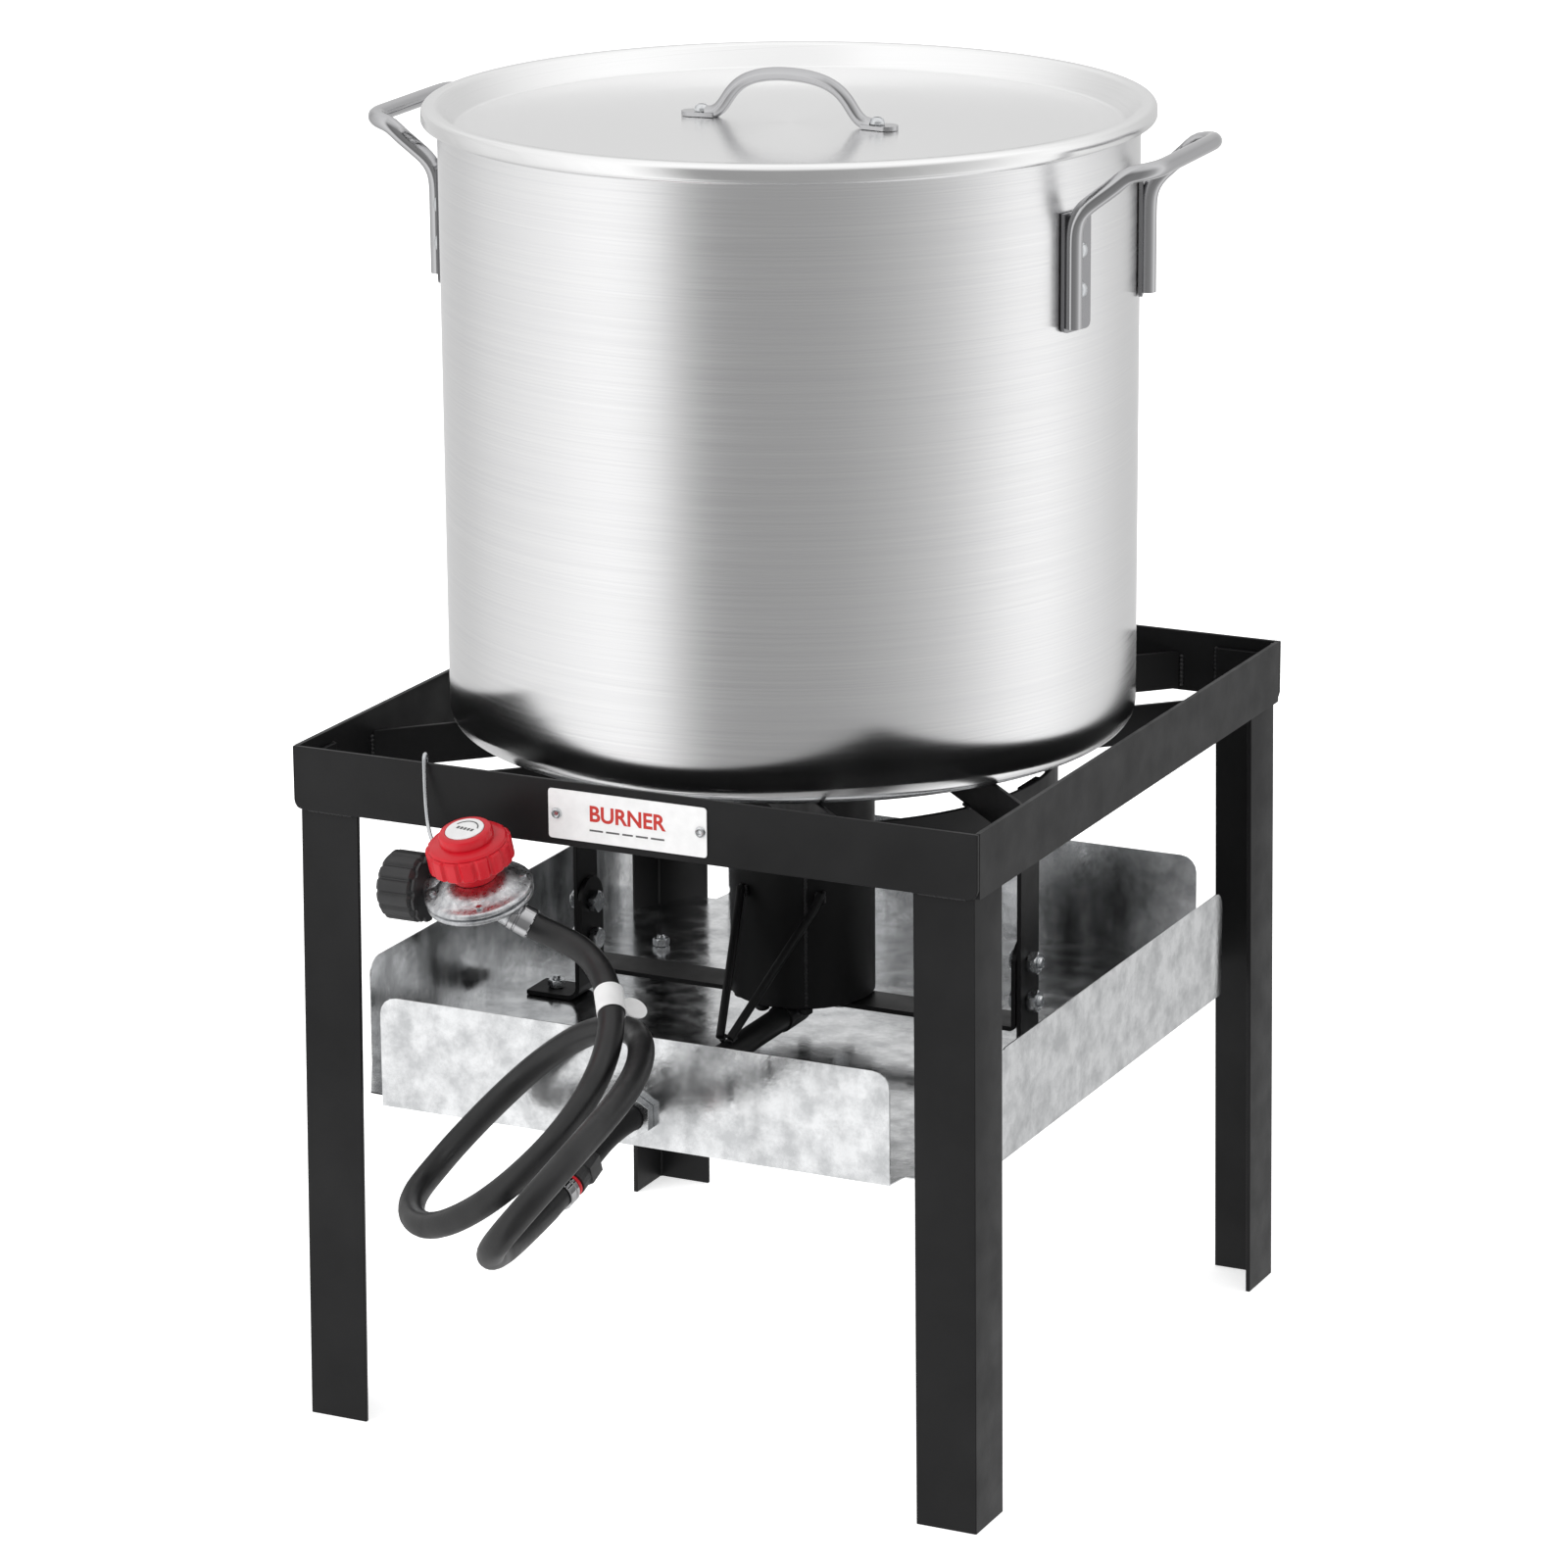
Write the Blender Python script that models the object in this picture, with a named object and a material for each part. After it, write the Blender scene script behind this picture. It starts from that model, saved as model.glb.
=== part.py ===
"""Propane burner stand: square steel frame with a tray, a burner, a regulator and hose, and a lidded stockpot.

Sizes are in millimetres and are scaled to metres when each piece is placed.
+Z is up, the floor is Z = 0, the front with the nameplate faces -Y.
"""
import math

import bmesh
import bpy
import numpy as np
from mathutils import Matrix, Vector

MM = 0.001

# Frame
RING_X, RING_Y = 228.5, 240.2          # outer half sizes of the top ring
RING_BOTTOM, RING_TOP, RING_T = 396.0, 436.0, 3.0
LEG_W, LEG_T, LEG_TOP, LEG_SPLAY = 39.5, 3.0, 428.0, 4.0
GRATE_OFFSET, GRATE_T = 80.0, 3.0      # grate bars lie on the lines X - Y and X + Y = +-80
GRATE_BOTTOM, GRATE_TOP = 397.0, 422.0
BAND_R, BAND_T, BAND_BOTTOM, BAND_TOP = 161.3, 3.0, 372.0, 396.7
GAP = 0.3                              # clearance between pieces that touch

# Tray
TRAY_X, TRAY_Y, TRAY_T = 215.0, 240.0, 1.0
TRAY_FLOOR, TRAY_TOP = 213.5, 283.0

# Burner
GUARD_R, GUARD_T, GUARD_BOTTOM, GUARD_TOP = 46.0, 2.5, 241.5, 385.0
PIPE_R, PIPE_X, PIPE_Z = 8.0, 4.0, 233.0

# Regulator and hose
REG_C = Vector((-81.0, -275.0, 371.0))
REG_N = Vector((-0.054, -0.277, 0.960)).normalized()
HOOK_EYE = Vector((-109.2, -266.0, 382.0))
HOSE_R = 8.0
FERRULE_A = Vector((-62.0, -269.5, 359.0))
FERRULE_B = Vector((-50.5, -266.2, 352.8))
FITTING_A = Vector((4.0, -305.0, 225.0))
FITTING_B = Vector((4.0, -329.0, 216.0))
FITTING_C = Vector((4.0, -341.0, 213.8))

# Stockpot
POT_R, POT_T, POT_BOTTOM, POT_TOP = 215.0, 1.6, 422.3, 803.0
LID_R, LID_PLATE, LID_TOP = 225.0, 796.0, 810.5
POT_AT = Matrix.Translation((-6.0, 0.0, 0.0))
HANDLE_TURN = math.radians(2.8)

HOSE_ROUTE = [
    (-50, -266, 352.5), (-38, -263, 347), (-20, -265, 343), (-4, -273, 337), (10, -286, 329), (24, -306, 316),
    (33, -332, 302), (36, -360, 288), (31, -385, 271), (15, -399, 251), (-10, -402, 228), (-40, -394, 208),
    (-65, -381, 197), (-86, -361, 195), (-96, -337, 199), (-96, -315, 205), (-92, -294, 216), (-78, -271, 236),
    (-60, -259, 256), (-39, -255, 274), (-16, -258, 289), (10, -270, 299), (34, -292, 303), (51, -321, 303),
    (63, -354, 300), (69, -391, 295), (69, -426, 287), (64, -453, 275), (53, -470, 258), (38, -474, 239),
    (23, -462, 222), (14, -440, 211), (9, -413, 207), (5, -378, 208), (4, -353, 211), (4, -341, 213.8),
]

for old in list(bpy.data.objects):
    bpy.data.objects.remove(old)

SCENE = bpy.context.scene
PARTS = bpy.data.collections.new("propane_burner_stand")
SCENE.collection.children.link(PARTS)


def material(name, rgb, metallic, rough):
    """Plain Principled material of one sub-part."""
    mat = bpy.data.materials.new(name)
    mat.use_nodes = True
    shader = mat.node_tree.nodes["Principled BSDF"]
    shader.inputs["Base Color"].default_value = (*rgb, 1.0)
    shader.inputs["Metallic"].default_value = metallic
    shader.inputs["Roughness"].default_value = rough
    return mat


BLACK = ((0.03, 0.03, 0.03), 0.0, 0.45)
ZINC = ((0.62, 0.63, 0.65), 1.0, 0.35)
GALV = ((0.70, 0.72, 0.74), 1.0, 0.25)
ALU = ((0.80, 0.80, 0.80), 1.0, 0.30)
STEEL = ((0.70, 0.70, 0.70), 1.0, 0.20)
RED = ((0.75, 0.01, 0.03), 0.0, 0.35)
RUBBER = ((0.02, 0.02, 0.02), 0.0, 0.60)
PAPER = ((0.85, 0.85, 0.85), 0.0, 0.50)


def clean(mesh):
    """Merge double points and turn all faces outwards."""
    bm = bmesh.new()
    bm.from_mesh(mesh)
    bmesh.ops.remove_doubles(bm, verts=bm.verts, dist=0.005)
    bmesh.ops.recalc_face_normals(bm, faces=bm.faces)
    bm.to_mesh(mesh)
    bm.free()
    return mesh


def evaluated(data):
    """Mesh of a curve or of an object's data as Blender evaluates it."""
    temp = bpy.data.objects.new("temp", data)
    SCENE.collection.objects.link(temp)
    deps = bpy.context.evaluated_depsgraph_get()
    deps.update()
    mesh = bpy.data.meshes.new_from_object(temp.evaluated_get(deps))
    bpy.data.objects.remove(temp)
    return clean(mesh)


def slab(outline, thickness):
    """Flat plate from a closed outline in XY, centred on Z = 0."""
    curve = bpy.data.curves.new("outline", "CURVE")
    curve.dimensions = "2D"
    curve.fill_mode = "BOTH"
    curve.extrude = thickness / 2
    spline = curve.splines.new("POLY")
    spline.points.add(len(outline) - 1)
    for point, (x, y) in zip(spline.points, outline):
        point.co = (x, y, 0, 1)
    spline.use_cyclic_u = True
    return evaluated(curve)


def tube(points, radius, resolution=2):
    """Round wire or pipe along a line of points, with filled ends."""
    curve = bpy.data.curves.new("wire", "CURVE")
    curve.dimensions = "3D"
    curve.bevel_depth = radius
    curve.bevel_resolution = resolution
    curve.use_fill_caps = True
    spline = curve.splines.new("POLY")
    spline.points.add(len(points) - 1)
    for point, at in zip(spline.points, points):
        point.co = (*at, 1)
    return evaluated(curve)


def lathe(profile, steps):
    """Turned solid about Z from a closed (radius, z) profile, or one that starts and ends on the axis."""
    bm = bmesh.new()
    verts = [bm.verts.new((r, 0, z)) for r, z in profile]
    edges = [bm.edges.new(pair) for pair in zip(verts, verts[1:])]
    if profile[0][0] > 0:
        edges.append(bm.edges.new((verts[-1], verts[0])))
    bmesh.ops.spin(bm, geom=verts + edges, axis=(0, 0, 1), cent=(0, 0, 0), steps=steps, angle=math.tau,
                   use_merge=True)
    mesh = bpy.data.meshes.new("lathe")
    bm.to_mesh(mesh)
    bm.free()
    return clean(mesh)


def rod(radius, bottom, top, steps=16):
    """Upright cylinder about Z; six steps make a hexagon."""
    bm = bmesh.new()
    bmesh.ops.create_cone(bm, cap_ends=True, segments=steps, radius1=radius, radius2=radius, depth=top - bottom)
    bmesh.ops.translate(bm, verts=bm.verts, vec=(0, 0, (top + bottom) / 2))
    mesh = bpy.data.meshes.new("rod")
    bm.to_mesh(mesh)
    bm.free()
    return mesh


def box(low, high):
    """Box between two corners."""
    bm = bmesh.new()
    bmesh.ops.create_cube(bm, size=1)
    low, high = Vector(low), Vector(high)
    bmesh.ops.scale(bm, verts=bm.verts, vec=high - low)
    bmesh.ops.translate(bm, verts=bm.verts, vec=(low + high) / 2)
    mesh = bpy.data.meshes.new("box")
    bm.to_mesh(mesh)
    bm.free()
    return mesh


def moved(mesh, matrix):
    """The same mesh after a transform."""
    mesh.transform(matrix)
    return mesh


def frame_at(origin, direction):
    """Matrix that puts local Z on a direction, with its origin at a point."""
    turn = Vector(direction).to_track_quat("Z", "Y").to_matrix().to_4x4()
    return Matrix.Translation(Vector(origin)) @ turn


def combine(base, other, operation):
    """Boolean of two meshes."""
    tool = bpy.data.objects.new("tool", other)
    SCENE.collection.objects.link(tool)
    temp = bpy.data.objects.new("temp", base)
    SCENE.collection.objects.link(temp)
    mod = temp.modifiers.new("bool", "BOOLEAN")
    mod.operation = operation
    mod.solver = "EXACT"
    mod.object = tool
    deps = bpy.context.evaluated_depsgraph_get()
    deps.update()
    mesh = bpy.data.meshes.new_from_object(temp.evaluated_get(deps))
    bpy.data.objects.remove(temp)
    bpy.data.objects.remove(tool)
    return clean(mesh)


def cut(base, *tools):
    """Take the tools out of the base."""
    for tool in tools:
        base = combine(base, tool, "DIFFERENCE")
    return base


def join(base, *others):
    """One solid from overlapping ones."""
    for other in others:
        base = combine(base, other, "UNION")
    return base


def place(name, mesh, look, origin=(0, 0, 0), smooth=False):
    """Name a finished piece, scale it to metres and put its origin where it turns or sits."""
    mesh.transform(Matrix.Translation(-Vector(origin)))
    mesh.transform(Matrix.Scale(MM, 4))
    mesh.name = name
    for face in mesh.polygons:
        face.use_smooth = smooth
    obj = bpy.data.objects.new(name, mesh)
    obj.location = Vector(origin) * MM
    mesh.materials.clear()
    mesh.materials.append(material(name, *look))
    PARTS.objects.link(obj)
    return obj


def arc(cx, cy, r, start, end, steps):
    """Points of a circle arc between two angles in degrees."""
    angles = [math.radians(start + (end - start) * i / steps) for i in range(steps + 1)]
    return [(cx + r * math.cos(a), cy + r * math.sin(a)) for a in angles]


def smooth_line(points, spacing):
    """Even points on a smooth curve that follows a list of hand-set points."""
    p = np.array(points, float)
    p = np.vstack([2 * p[0] - p[1], p, 2 * p[-1] - p[-2]])
    fine = []
    for a, b, c, d in zip(p, p[1:], p[2:], p[3:]):
        for t in np.linspace(0, 1, 12, endpoint=False):
            fine.append(((1 - t) ** 3 * a + (3 * t ** 3 - 6 * t * t + 4) * b
                         + (-3 * t ** 3 + 3 * t * t + 3 * t + 1) * c + t ** 3 * d) / 6)
    fine = np.array(fine + [p[-2]])
    run = np.concatenate([[0], np.cumsum(np.linalg.norm(np.diff(fine, axis=0), axis=1))])
    at = np.linspace(0, run[-1], int(run[-1] / spacing) + 1)
    return np.stack([np.interp(at, run, fine[:, k]) for k in range(3)], axis=1)


# Frame ------------------------------------------------------------------------------------------------------------

def rail_outline(half, bottom, top, r):
    """Front view of a ring bar, rounded at its two lower corners."""
    line = [(-half, top), *arc(-half + r, bottom + r, r, 180, 270, 3)]
    return line + [*arc(half - r, bottom + r, r, 270, 360, 3), (half, top)]


UPRIGHT_XZ = Matrix.Rotation(math.pi / 2, 4, "X")
UPRIGHT_YZ = Matrix.Rotation(math.pi / 2, 4, "Z") @ UPRIGHT_XZ
RIVET_X, RIVET_Z = (-46.0, 50.0), 416.2


def ring():
    """Four flat bars on edge that make the top ring."""
    mid_y, mid_x = RING_Y - RING_T / 2, RING_X - RING_T / 2
    outline = rail_outline(RING_X, RING_BOTTOM, RING_TOP, 6)
    side = rail_outline(RING_Y - RING_T - GAP, RING_BOTTOM, RING_TOP, 1)
    front = moved(slab(outline, RING_T), Matrix.Translation((0, -mid_y, 0)) @ UPRIGHT_XZ)
    for x in RIVET_X:
        front = cut(front, moved(rod(2.2, -8, 8, 12), frame_at((x, -mid_y, RIVET_Z), (0, 1, 0))))
    place("rail_front", front, BLACK)
    place("rail_back", moved(slab(outline, RING_T), Matrix.Translation((0, mid_y, 0)) @ UPRIGHT_XZ), BLACK)
    for name, sign in (("rail_left", -1), ("rail_right", 1)):
        place(name, moved(slab(side, RING_T), Matrix.Translation((sign * mid_x, 0, 0)) @ UPRIGHT_YZ), BLACK)


def legs():
    """Four angle-iron legs with their outer faces against the inside of the ring."""
    x, y = RING_X - RING_T - 0.5, RING_Y - RING_T - 0.5
    for name, sx, sy in (("leg_front_left", -1, -1), ("leg_front_right", 1, -1),
                         ("leg_back_left", -1, 1), ("leg_back_right", 1, 1)):
        line = [(x, y), (x - LEG_W, y), (x - LEG_W, y - LEG_T), (x - LEG_T - 1, y - LEG_T),
                (x - LEG_T, y - LEG_T - 1), (x - LEG_T, y - LEG_W), (x, y - LEG_W)]
        mesh = slab([(sx * a, sy * b) for a, b in line], LEG_TOP)
        mesh.transform(Matrix.Translation((0, 0, LEG_TOP / 2)))
        for vert in mesh.vertices:
            lean = LEG_SPLAY * (1 - vert.co.z / LEG_TOP)
            vert.co.x += sx * lean
            vert.co.y += sy * lean
        place(name, mesh, BLACK)


def grate():
    """Four crossing bars on edge, halved into each other where they cross."""
    t = GRATE_T / math.sqrt(2)
    x, y = RING_X - RING_T - GAP, RING_Y - RING_T - GAP
    mid = (GRATE_BOTTOM + GRATE_TOP) / 2
    height = GRATE_TOP - GRATE_BOTTOM
    for name, slope, side in (("grate_bar_a", 1, 1), ("grate_bar_b", 1, -1),
                              ("grate_bar_c", -1, 1), ("grate_bar_d", -1, -1)):
        # Plan view of one bar: side * slope sets which corner of the ring it cuts across.
        lo, hi = GRATE_OFFSET - t, GRATE_OFFSET + t
        line = [(x, x - hi), (x, x - lo), (-y + lo, -y), (-y + hi, -y)]
        line = [(px * side, py * side * slope) for px, py in line]
        bar = moved(slab(line, height), Matrix.Translation((0, 0, mid)))
        low = mid - 0.15 if slope == 1 else GRATE_BOTTOM - 2
        high = GRATE_TOP + 2 if slope == 1 else mid + 0.15
        middle = Vector((GRATE_OFFSET, 0)) if side == 1 else Vector((-GRATE_OFFSET, 0))
        ends = (middle, Vector((0, -GRATE_OFFSET * side * slope)))
        for at in ends:
            notch = box((-GRATE_T / 2 - GAP, -6, low), (GRATE_T / 2 + GAP, 6, high))
            turn = Matrix.Rotation(math.radians(45 * slope), 4, "Z")
            bar = cut(bar, moved(notch, Matrix.Translation((at.x, at.y, 0)) @ turn))
        place(name, bar, BLACK)


def heat_band():
    """Flat band rolled into a circle under the grate."""
    r = BAND_R - BAND_T
    profile = [(r, BAND_TOP), (BAND_R, BAND_TOP), (BAND_R, BAND_BOTTOM), (r, BAND_BOTTOM)]
    place("heat_band", lathe(profile, 64), BLACK)


STRAP_X = 154.2
CARRIER_X = 150.9
BOLT_Z = (279.0, 254.0)


def straps():
    """Two flat bars from the band down to the tray, each with a foot bent outwards."""
    top, low, t = BAND_TOP - 1, TRAY_FLOOR + GAP, 3.0
    for name, s in (("strap_left", -1), ("strap_right", 1)):
        inner = arc(STRAP_X + 9, low + 9, 9, 180, 270, 4)
        outer = arc(STRAP_X + 9, low + 9, 6, 270, 180, 4)
        line = [(STRAP_X, top), *inner, (193, low), (193, low + t), *outer, (STRAP_X + t, top)]
        mesh = moved(slab([(s * x, z) for x, z in line], 28), UPRIGHT_XZ)
        for z in BOLT_Z:
            mesh = cut(mesh, moved(rod(4.4, 140, 170, 12), frame_at((0, 0, z), (s, 0, 0))))
        mesh = cut(mesh, moved(rod(3.4, 200, 230, 12), Matrix.Translation((s * 178, 0, 0))))
        place(name, mesh, BLACK)


def carrier():
    """U-shaped bar that hangs the burner between the straps."""
    x, low, t, top, half = CARRIER_X, 237.0, 3.0, 295.0, 15.0
    line = [(-x - t, top), *arc(-x + 1, low + 4, 4, 180, 270, 3), *arc(x - 1, low + 4, 4, 270, 360, 3), (x + t, top)]
    line += [(x, top), (x, low + t), (-x, low + t), (-x, top)]
    mesh = moved(slab(line, 2 * half), UPRIGHT_XZ)
    for s in (-1, 1):
        for z in BOLT_Z:
            mesh = cut(mesh, moved(rod(4.4, 140, 170, 12), frame_at((0, 0, z), (s, 0, 0))))
        for sy in (-1, 1):
            curve = arc(0, top - half, half, 78, 12, 4)
            waste = [(curve[0][0], top + 2), *curve, (half * 1.2, curve[-1][1]), (half * 1.2, top + 2)]
            waste = slab([(sy * a, b) for a, b in waste], 14)
            mesh = cut(mesh, moved(waste, Matrix.Translation((s * x, 0, 0)) @ UPRIGHT_YZ))
        mesh = cut(mesh, moved(rod(3.4, 230, 245, 12), Matrix.Translation((s * 26, 0, 0))))
    place("burner_carrier", mesh, BLACK)


def bolt(name, origin, direction, head, nut, shank, across, look=ZINC):
    """Bolt with a hexagon head and nut as one body: spans are along the direction from the origin."""
    mesh = rod(shank, head[0], nut[1] + 2.5, 12)
    mesh = join(mesh, rod(across / math.sqrt(3), head[0], head[1], 6), rod(across / math.sqrt(3), nut[0], nut[1], 6))
    place(name, moved(mesh, frame_at(origin, direction)), look)


def fasteners():
    """Bolts, studs and their nuts."""
    for label, s in (("left", -1), ("right", 1)):
        for number, z in enumerate(BOLT_Z, 1):
            bolt(f"carrier_bolt_{label}_{number}", (s * STRAP_X, 0, z), (s, 0, 0), (-8.6, -3.6), (3.3, 9.3), 4, 13)
        foot = (s * 178, 0, TRAY_FLOOR)
        bolt(f"foot_bolt_{label}", foot, (0, 0, 1), (-5.3, -1.3), (3.6, 8.6), 3, 10)
        bolt(f"burner_bolt_{label}", (s * 26, 0, 240), (0, 0, 1), (-7.5, -3.3), (10.6, 15.6), 3, 10)
    for label, x, y in (("left", -161, 116), ("right", 161, 116)):
        bolt(f"tray_bolt_{label}", (x, y, TRAY_FLOOR), (0, 0, 1), (-5.3, -1.3), (0.3, 5.3), 3, 10)


# Tray -------------------------------------------------------------------------------------------------------------

def tray():
    """Open-cornered tray of thin sheet, walls bent up from the floor."""
    t, z = TRAY_T, TRAY_FLOOR
    corner = [(215, 178), (190, 223), (174, 224), (172, 240)]
    line = [(sx * x, sy * y) for sx, sy, order in ((1, 1, 1), (-1, 1, -1), (-1, -1, 1), (1, -1, -1))
            for x, y in corner[::order]]
    mesh = moved(slab(line, t), Matrix.Translation((0, 0, z - t / 2)))
    for s in (-1, 1):
        for half, place_at, upright in ((172, Vector((0, s * (TRAY_Y - t / 2), 0)), UPRIGHT_XZ),
                                        (178, Vector((s * (TRAY_X - t / 2), 0, 0)), UPRIGHT_YZ)):
            wall = [(-half, z - t), (half, z - t), *arc(half - 11, TRAY_TOP - 11, 11, 0, 90, 4)]
            wall += arc(-half + 11, TRAY_TOP - 11, 11, 90, 180, 4)
            mesh = join(mesh, moved(slab(wall, t), Matrix.Translation(place_at) @ upright))
    holes = [(s * 178, 0) for s in (-1, 1)] + [(s * 161, 116) for s in (-1, 1)]
    for x, y in holes:
        mesh = cut(mesh, moved(rod(3.4, 200, 230, 12), Matrix.Translation((x, y, 0))))
    hole = moved(rod(PIPE_R + 0.4, 230, 250, 20), frame_at((PIPE_X, 0, PIPE_Z), (0, -1, 0)))
    place("tray", cut(mesh, hole), GALV)


# Burner -----------------------------------------------------------------------------------------------------------

def burner():
    """Round wind guard, cast burner inside it, gas pipe, lock nut and two stay rods."""
    r = GUARD_R - GUARD_T
    profile = [(r, GUARD_TOP), (GUARD_R, GUARD_TOP), (GUARD_R, GUARD_BOTTOM), (r, GUARD_BOTTOM)]
    place("wind_guard", lathe(profile, 40), BLACK)
    low = 240.3
    body = lathe([(0, 300), (10, 300), (12, 296), (12, 250), (r - 0.5, 250), (r - 0.5, low), (0, low)], 32)
    inlet = moved(rod(9, 16.2, 42.6, 20), frame_at((PIPE_X, 0, PIPE_Z), (0, -1, 0)))
    body = join(body, inlet)
    for s in (-1, 1):
        body = cut(body, moved(rod(3.4, 230, 260, 12), Matrix.Translation((s * 26, 0, 0))))
    place("burner_casting", body, ((0.05, 0.05, 0.05), 0.4, 0.6))
    ends = [(PIPE_X, -43.4, PIPE_Z), (PIPE_X, -255, PIPE_Z), (PIPE_X, -275, 232), (PIPE_X, -292, 229)]
    place("gas_pipe", tube([*ends, FITTING_A + Vector((0, 1.4, 0.5))], PIPE_R, 3), ZINC)
    nut = cut(rod(13.5, 240.4, 247.4, 6), rod(PIPE_R + 0.3, 235, 255, 20))
    place("lock_nut", moved(nut, frame_at((PIPE_X, 0, PIPE_Z), (0, -1, 0))), STEEL)
    rods = (("stay_rod_left", (0.6, -120, 244.2), (-21.6, -44.8, 315)),
            ("stay_rod_right", (7.4, -120, 244.2), (31.4, -38.6, 315)))
    for name, foot, head in rods:
        foot, head = Vector(foot), Vector(head)
        place(name, tube([foot, head - (head - foot) * 0.08, head + Vector((0, 0, 3))], 2.75), BLACK)


# Gas line ---------------------------------------------------------------------------------------------------------

def ribbed(radius, depth, ribs, bottom, top):
    """Grip ring with shallow round ribs."""
    line = []
    for i in range(ribs * 4):
        wave = depth if i % 4 in (0, 1) else 0
        angle = math.tau * (i + 0.5) / (ribs * 4)
        line.append(((radius - wave) * math.cos(angle), (radius - wave) * math.sin(angle)))
    return moved(slab(line, top - bottom), Matrix.Translation((0, 0, (top + bottom) / 2)))


def regulator():
    """Regulator body with its knob, hand nut, hook and outlet ferrule."""
    at = frame_at(REG_C, REG_N)
    profile = [(0, 11.5), (20, 11.5), (27, 7), (31, 5), (33, 3.5), (33, -3.5), (31, -4.8), (20, -5.2), (16, -10), (12, -15), (0, -15)]
    body = moved(lathe(profile, 40), at)
    out = (FERRULE_B - FERRULE_A).normalized()
    boss = moved(rod(8.5, -16, -GAP, 16), frame_at(FERRULE_A, out))
    stem = moved(rod(7.5, 15, 57, 16), frame_at(REG_C + Vector((0, 0, -1.5)), (-1, 0, 0)))
    body = join(body, boss, stem, box((-110.5, -270, 373), (-108, -262, 386)))
    place("regulator_body", cut(body, moved(rod(1.8, -5, 5, 10), frame_at(HOOK_EYE, (1, 0, 0)))), ZINC, REG_C)
    knob = join(lathe([(0, 44.5), (15, 44.5), (16.3, 43), (16.3, 30), (14, 20), (14, 12), (0, 12)], 32),
                ribbed(26, 1.4, 14, 22, 37))
    place("regulator_knob", moved(knob, at), RED, REG_C)
    place("knob_disc", moved(rod(11.5, 44.8, 45.5, 28), at), PAPER, REG_C)
    nut_at = Vector((-130, REG_C.y, REG_C.z - 1.5))
    nut = cut(ribbed(21, 1.2, 12, -13, 11.5), rod(7.9, -20, 20, 20))
    place("hand_nut", moved(nut, frame_at(nut_at, (-1, 0, 0))), BLACK, nut_at)
    place("outlet_ferrule", moved(rod(9.6, 0, (FERRULE_B - FERRULE_A).length, 20), frame_at(FERRULE_A, out)), STEEL)


def hook():
    """Thin wire over the front rail that carries the regulator by the eye on its rim."""
    inside, front, eye = -RING_Y + RING_T + 2.2, -RING_Y - 2.2, HOOK_EYE
    line = [(-138, inside, 424), (-138, inside, 437), (-137, inside - 2, 441.5), (-136, front + 1, 441.5),
            (-135.4, front, 437), (-131.8, -248.5, 413), (-125.5, -255.5, 393.5), (-116, -261, 390),
            (-112.9, eye.y + 2, 387.5),
            (-112.6, eye.y, 384), (-111.4, eye.y, eye.z), (-106.8, eye.y, eye.z)]
    place("wire_hook", tube(line, 1.25), ZINC)


def fittings():
    """Pipe adapter, seal ring and ferrule at the hose's burner end."""
    way = FITTING_B - FITTING_A
    at = frame_at(FITTING_A, way)
    span = way.length
    adapter = join(rod(11.5, 0, 13, 6), rod(9.5, 12, span - 3.3, 20))
    place("pipe_adapter", moved(adapter, at), BLACK, FITTING_A)
    place("seal_ring", moved(rod(8.6, span - 3, span - 0.3, 20), at), RED, FITTING_A)
    out = FITTING_C - FITTING_B
    place("inlet_ferrule", moved(rod(9.4, 1.6, out.length, 20), frame_at(FITTING_B, out)), STEEL, FITTING_A)


def hose():
    """Rubber gas hose and its paper tag."""
    line = smooth_line(HOSE_ROUTE, 20)
    start, end = (FERRULE_B - FERRULE_A).normalized(), (FITTING_C - FITTING_B).normalized()
    line[0], line[1] = FERRULE_B + start * GAP, FERRULE_B + start * 12
    line[-1], line[-2] = FITTING_C + end * GAP, FITTING_C + end * 16
    place("gas_hose", tube([tuple(p) for p in line], HOSE_R, 2), RUBBER)
    pick = 4
    way = Vector(line[pick + 1]) - Vector(line[pick - 1])
    tag = cut(rod(HOSE_R + 2.4, -7, 7, 20), rod(HOSE_R + 1.4, -12, 12, 20))
    place("hose_tag", moved(tag, frame_at(Vector(line[pick]), way)), PAPER)


def nameplate():
    """Blank plate and its two rivets on the front rail."""
    y = -RING_Y
    line = [*arc(-49.7, 402.5, 2, 180, 270, 3), *arc(52, 402.5, 2, 270, 360, 3),
            *arc(52, 429.3, 2, 0, 90, 3), *arc(-49.7, 429.3, 2, 90, 180, 3)]
    plate = moved(slab(line, 0.8), Matrix.Translation((0, y - 0.7, 0)) @ UPRIGHT_XZ)
    for x in RIVET_X:
        plate = cut(plate, moved(rod(2.2, -8, 8, 12), frame_at((x, y, RIVET_Z), (0, 1, 0))))
    place("nameplate", plate, PAPER)
    for name, x in zip(("plate_rivet_left", "plate_rivet_right"), RIVET_X):
        profile = [(0, 3.2), (1.8, 2.9), (3.4, 1.4), (3.4, 1.2), (1.9, 1.2), (1.9, -RING_T - 0.6), (0, -RING_T - 0.6)]
        place(name, moved(lathe(profile, 14), frame_at((x, y, RIVET_Z), (0, -1, 0))), ZINC)


# Stockpot ---------------------------------------------------------------------------------------------------------

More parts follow.
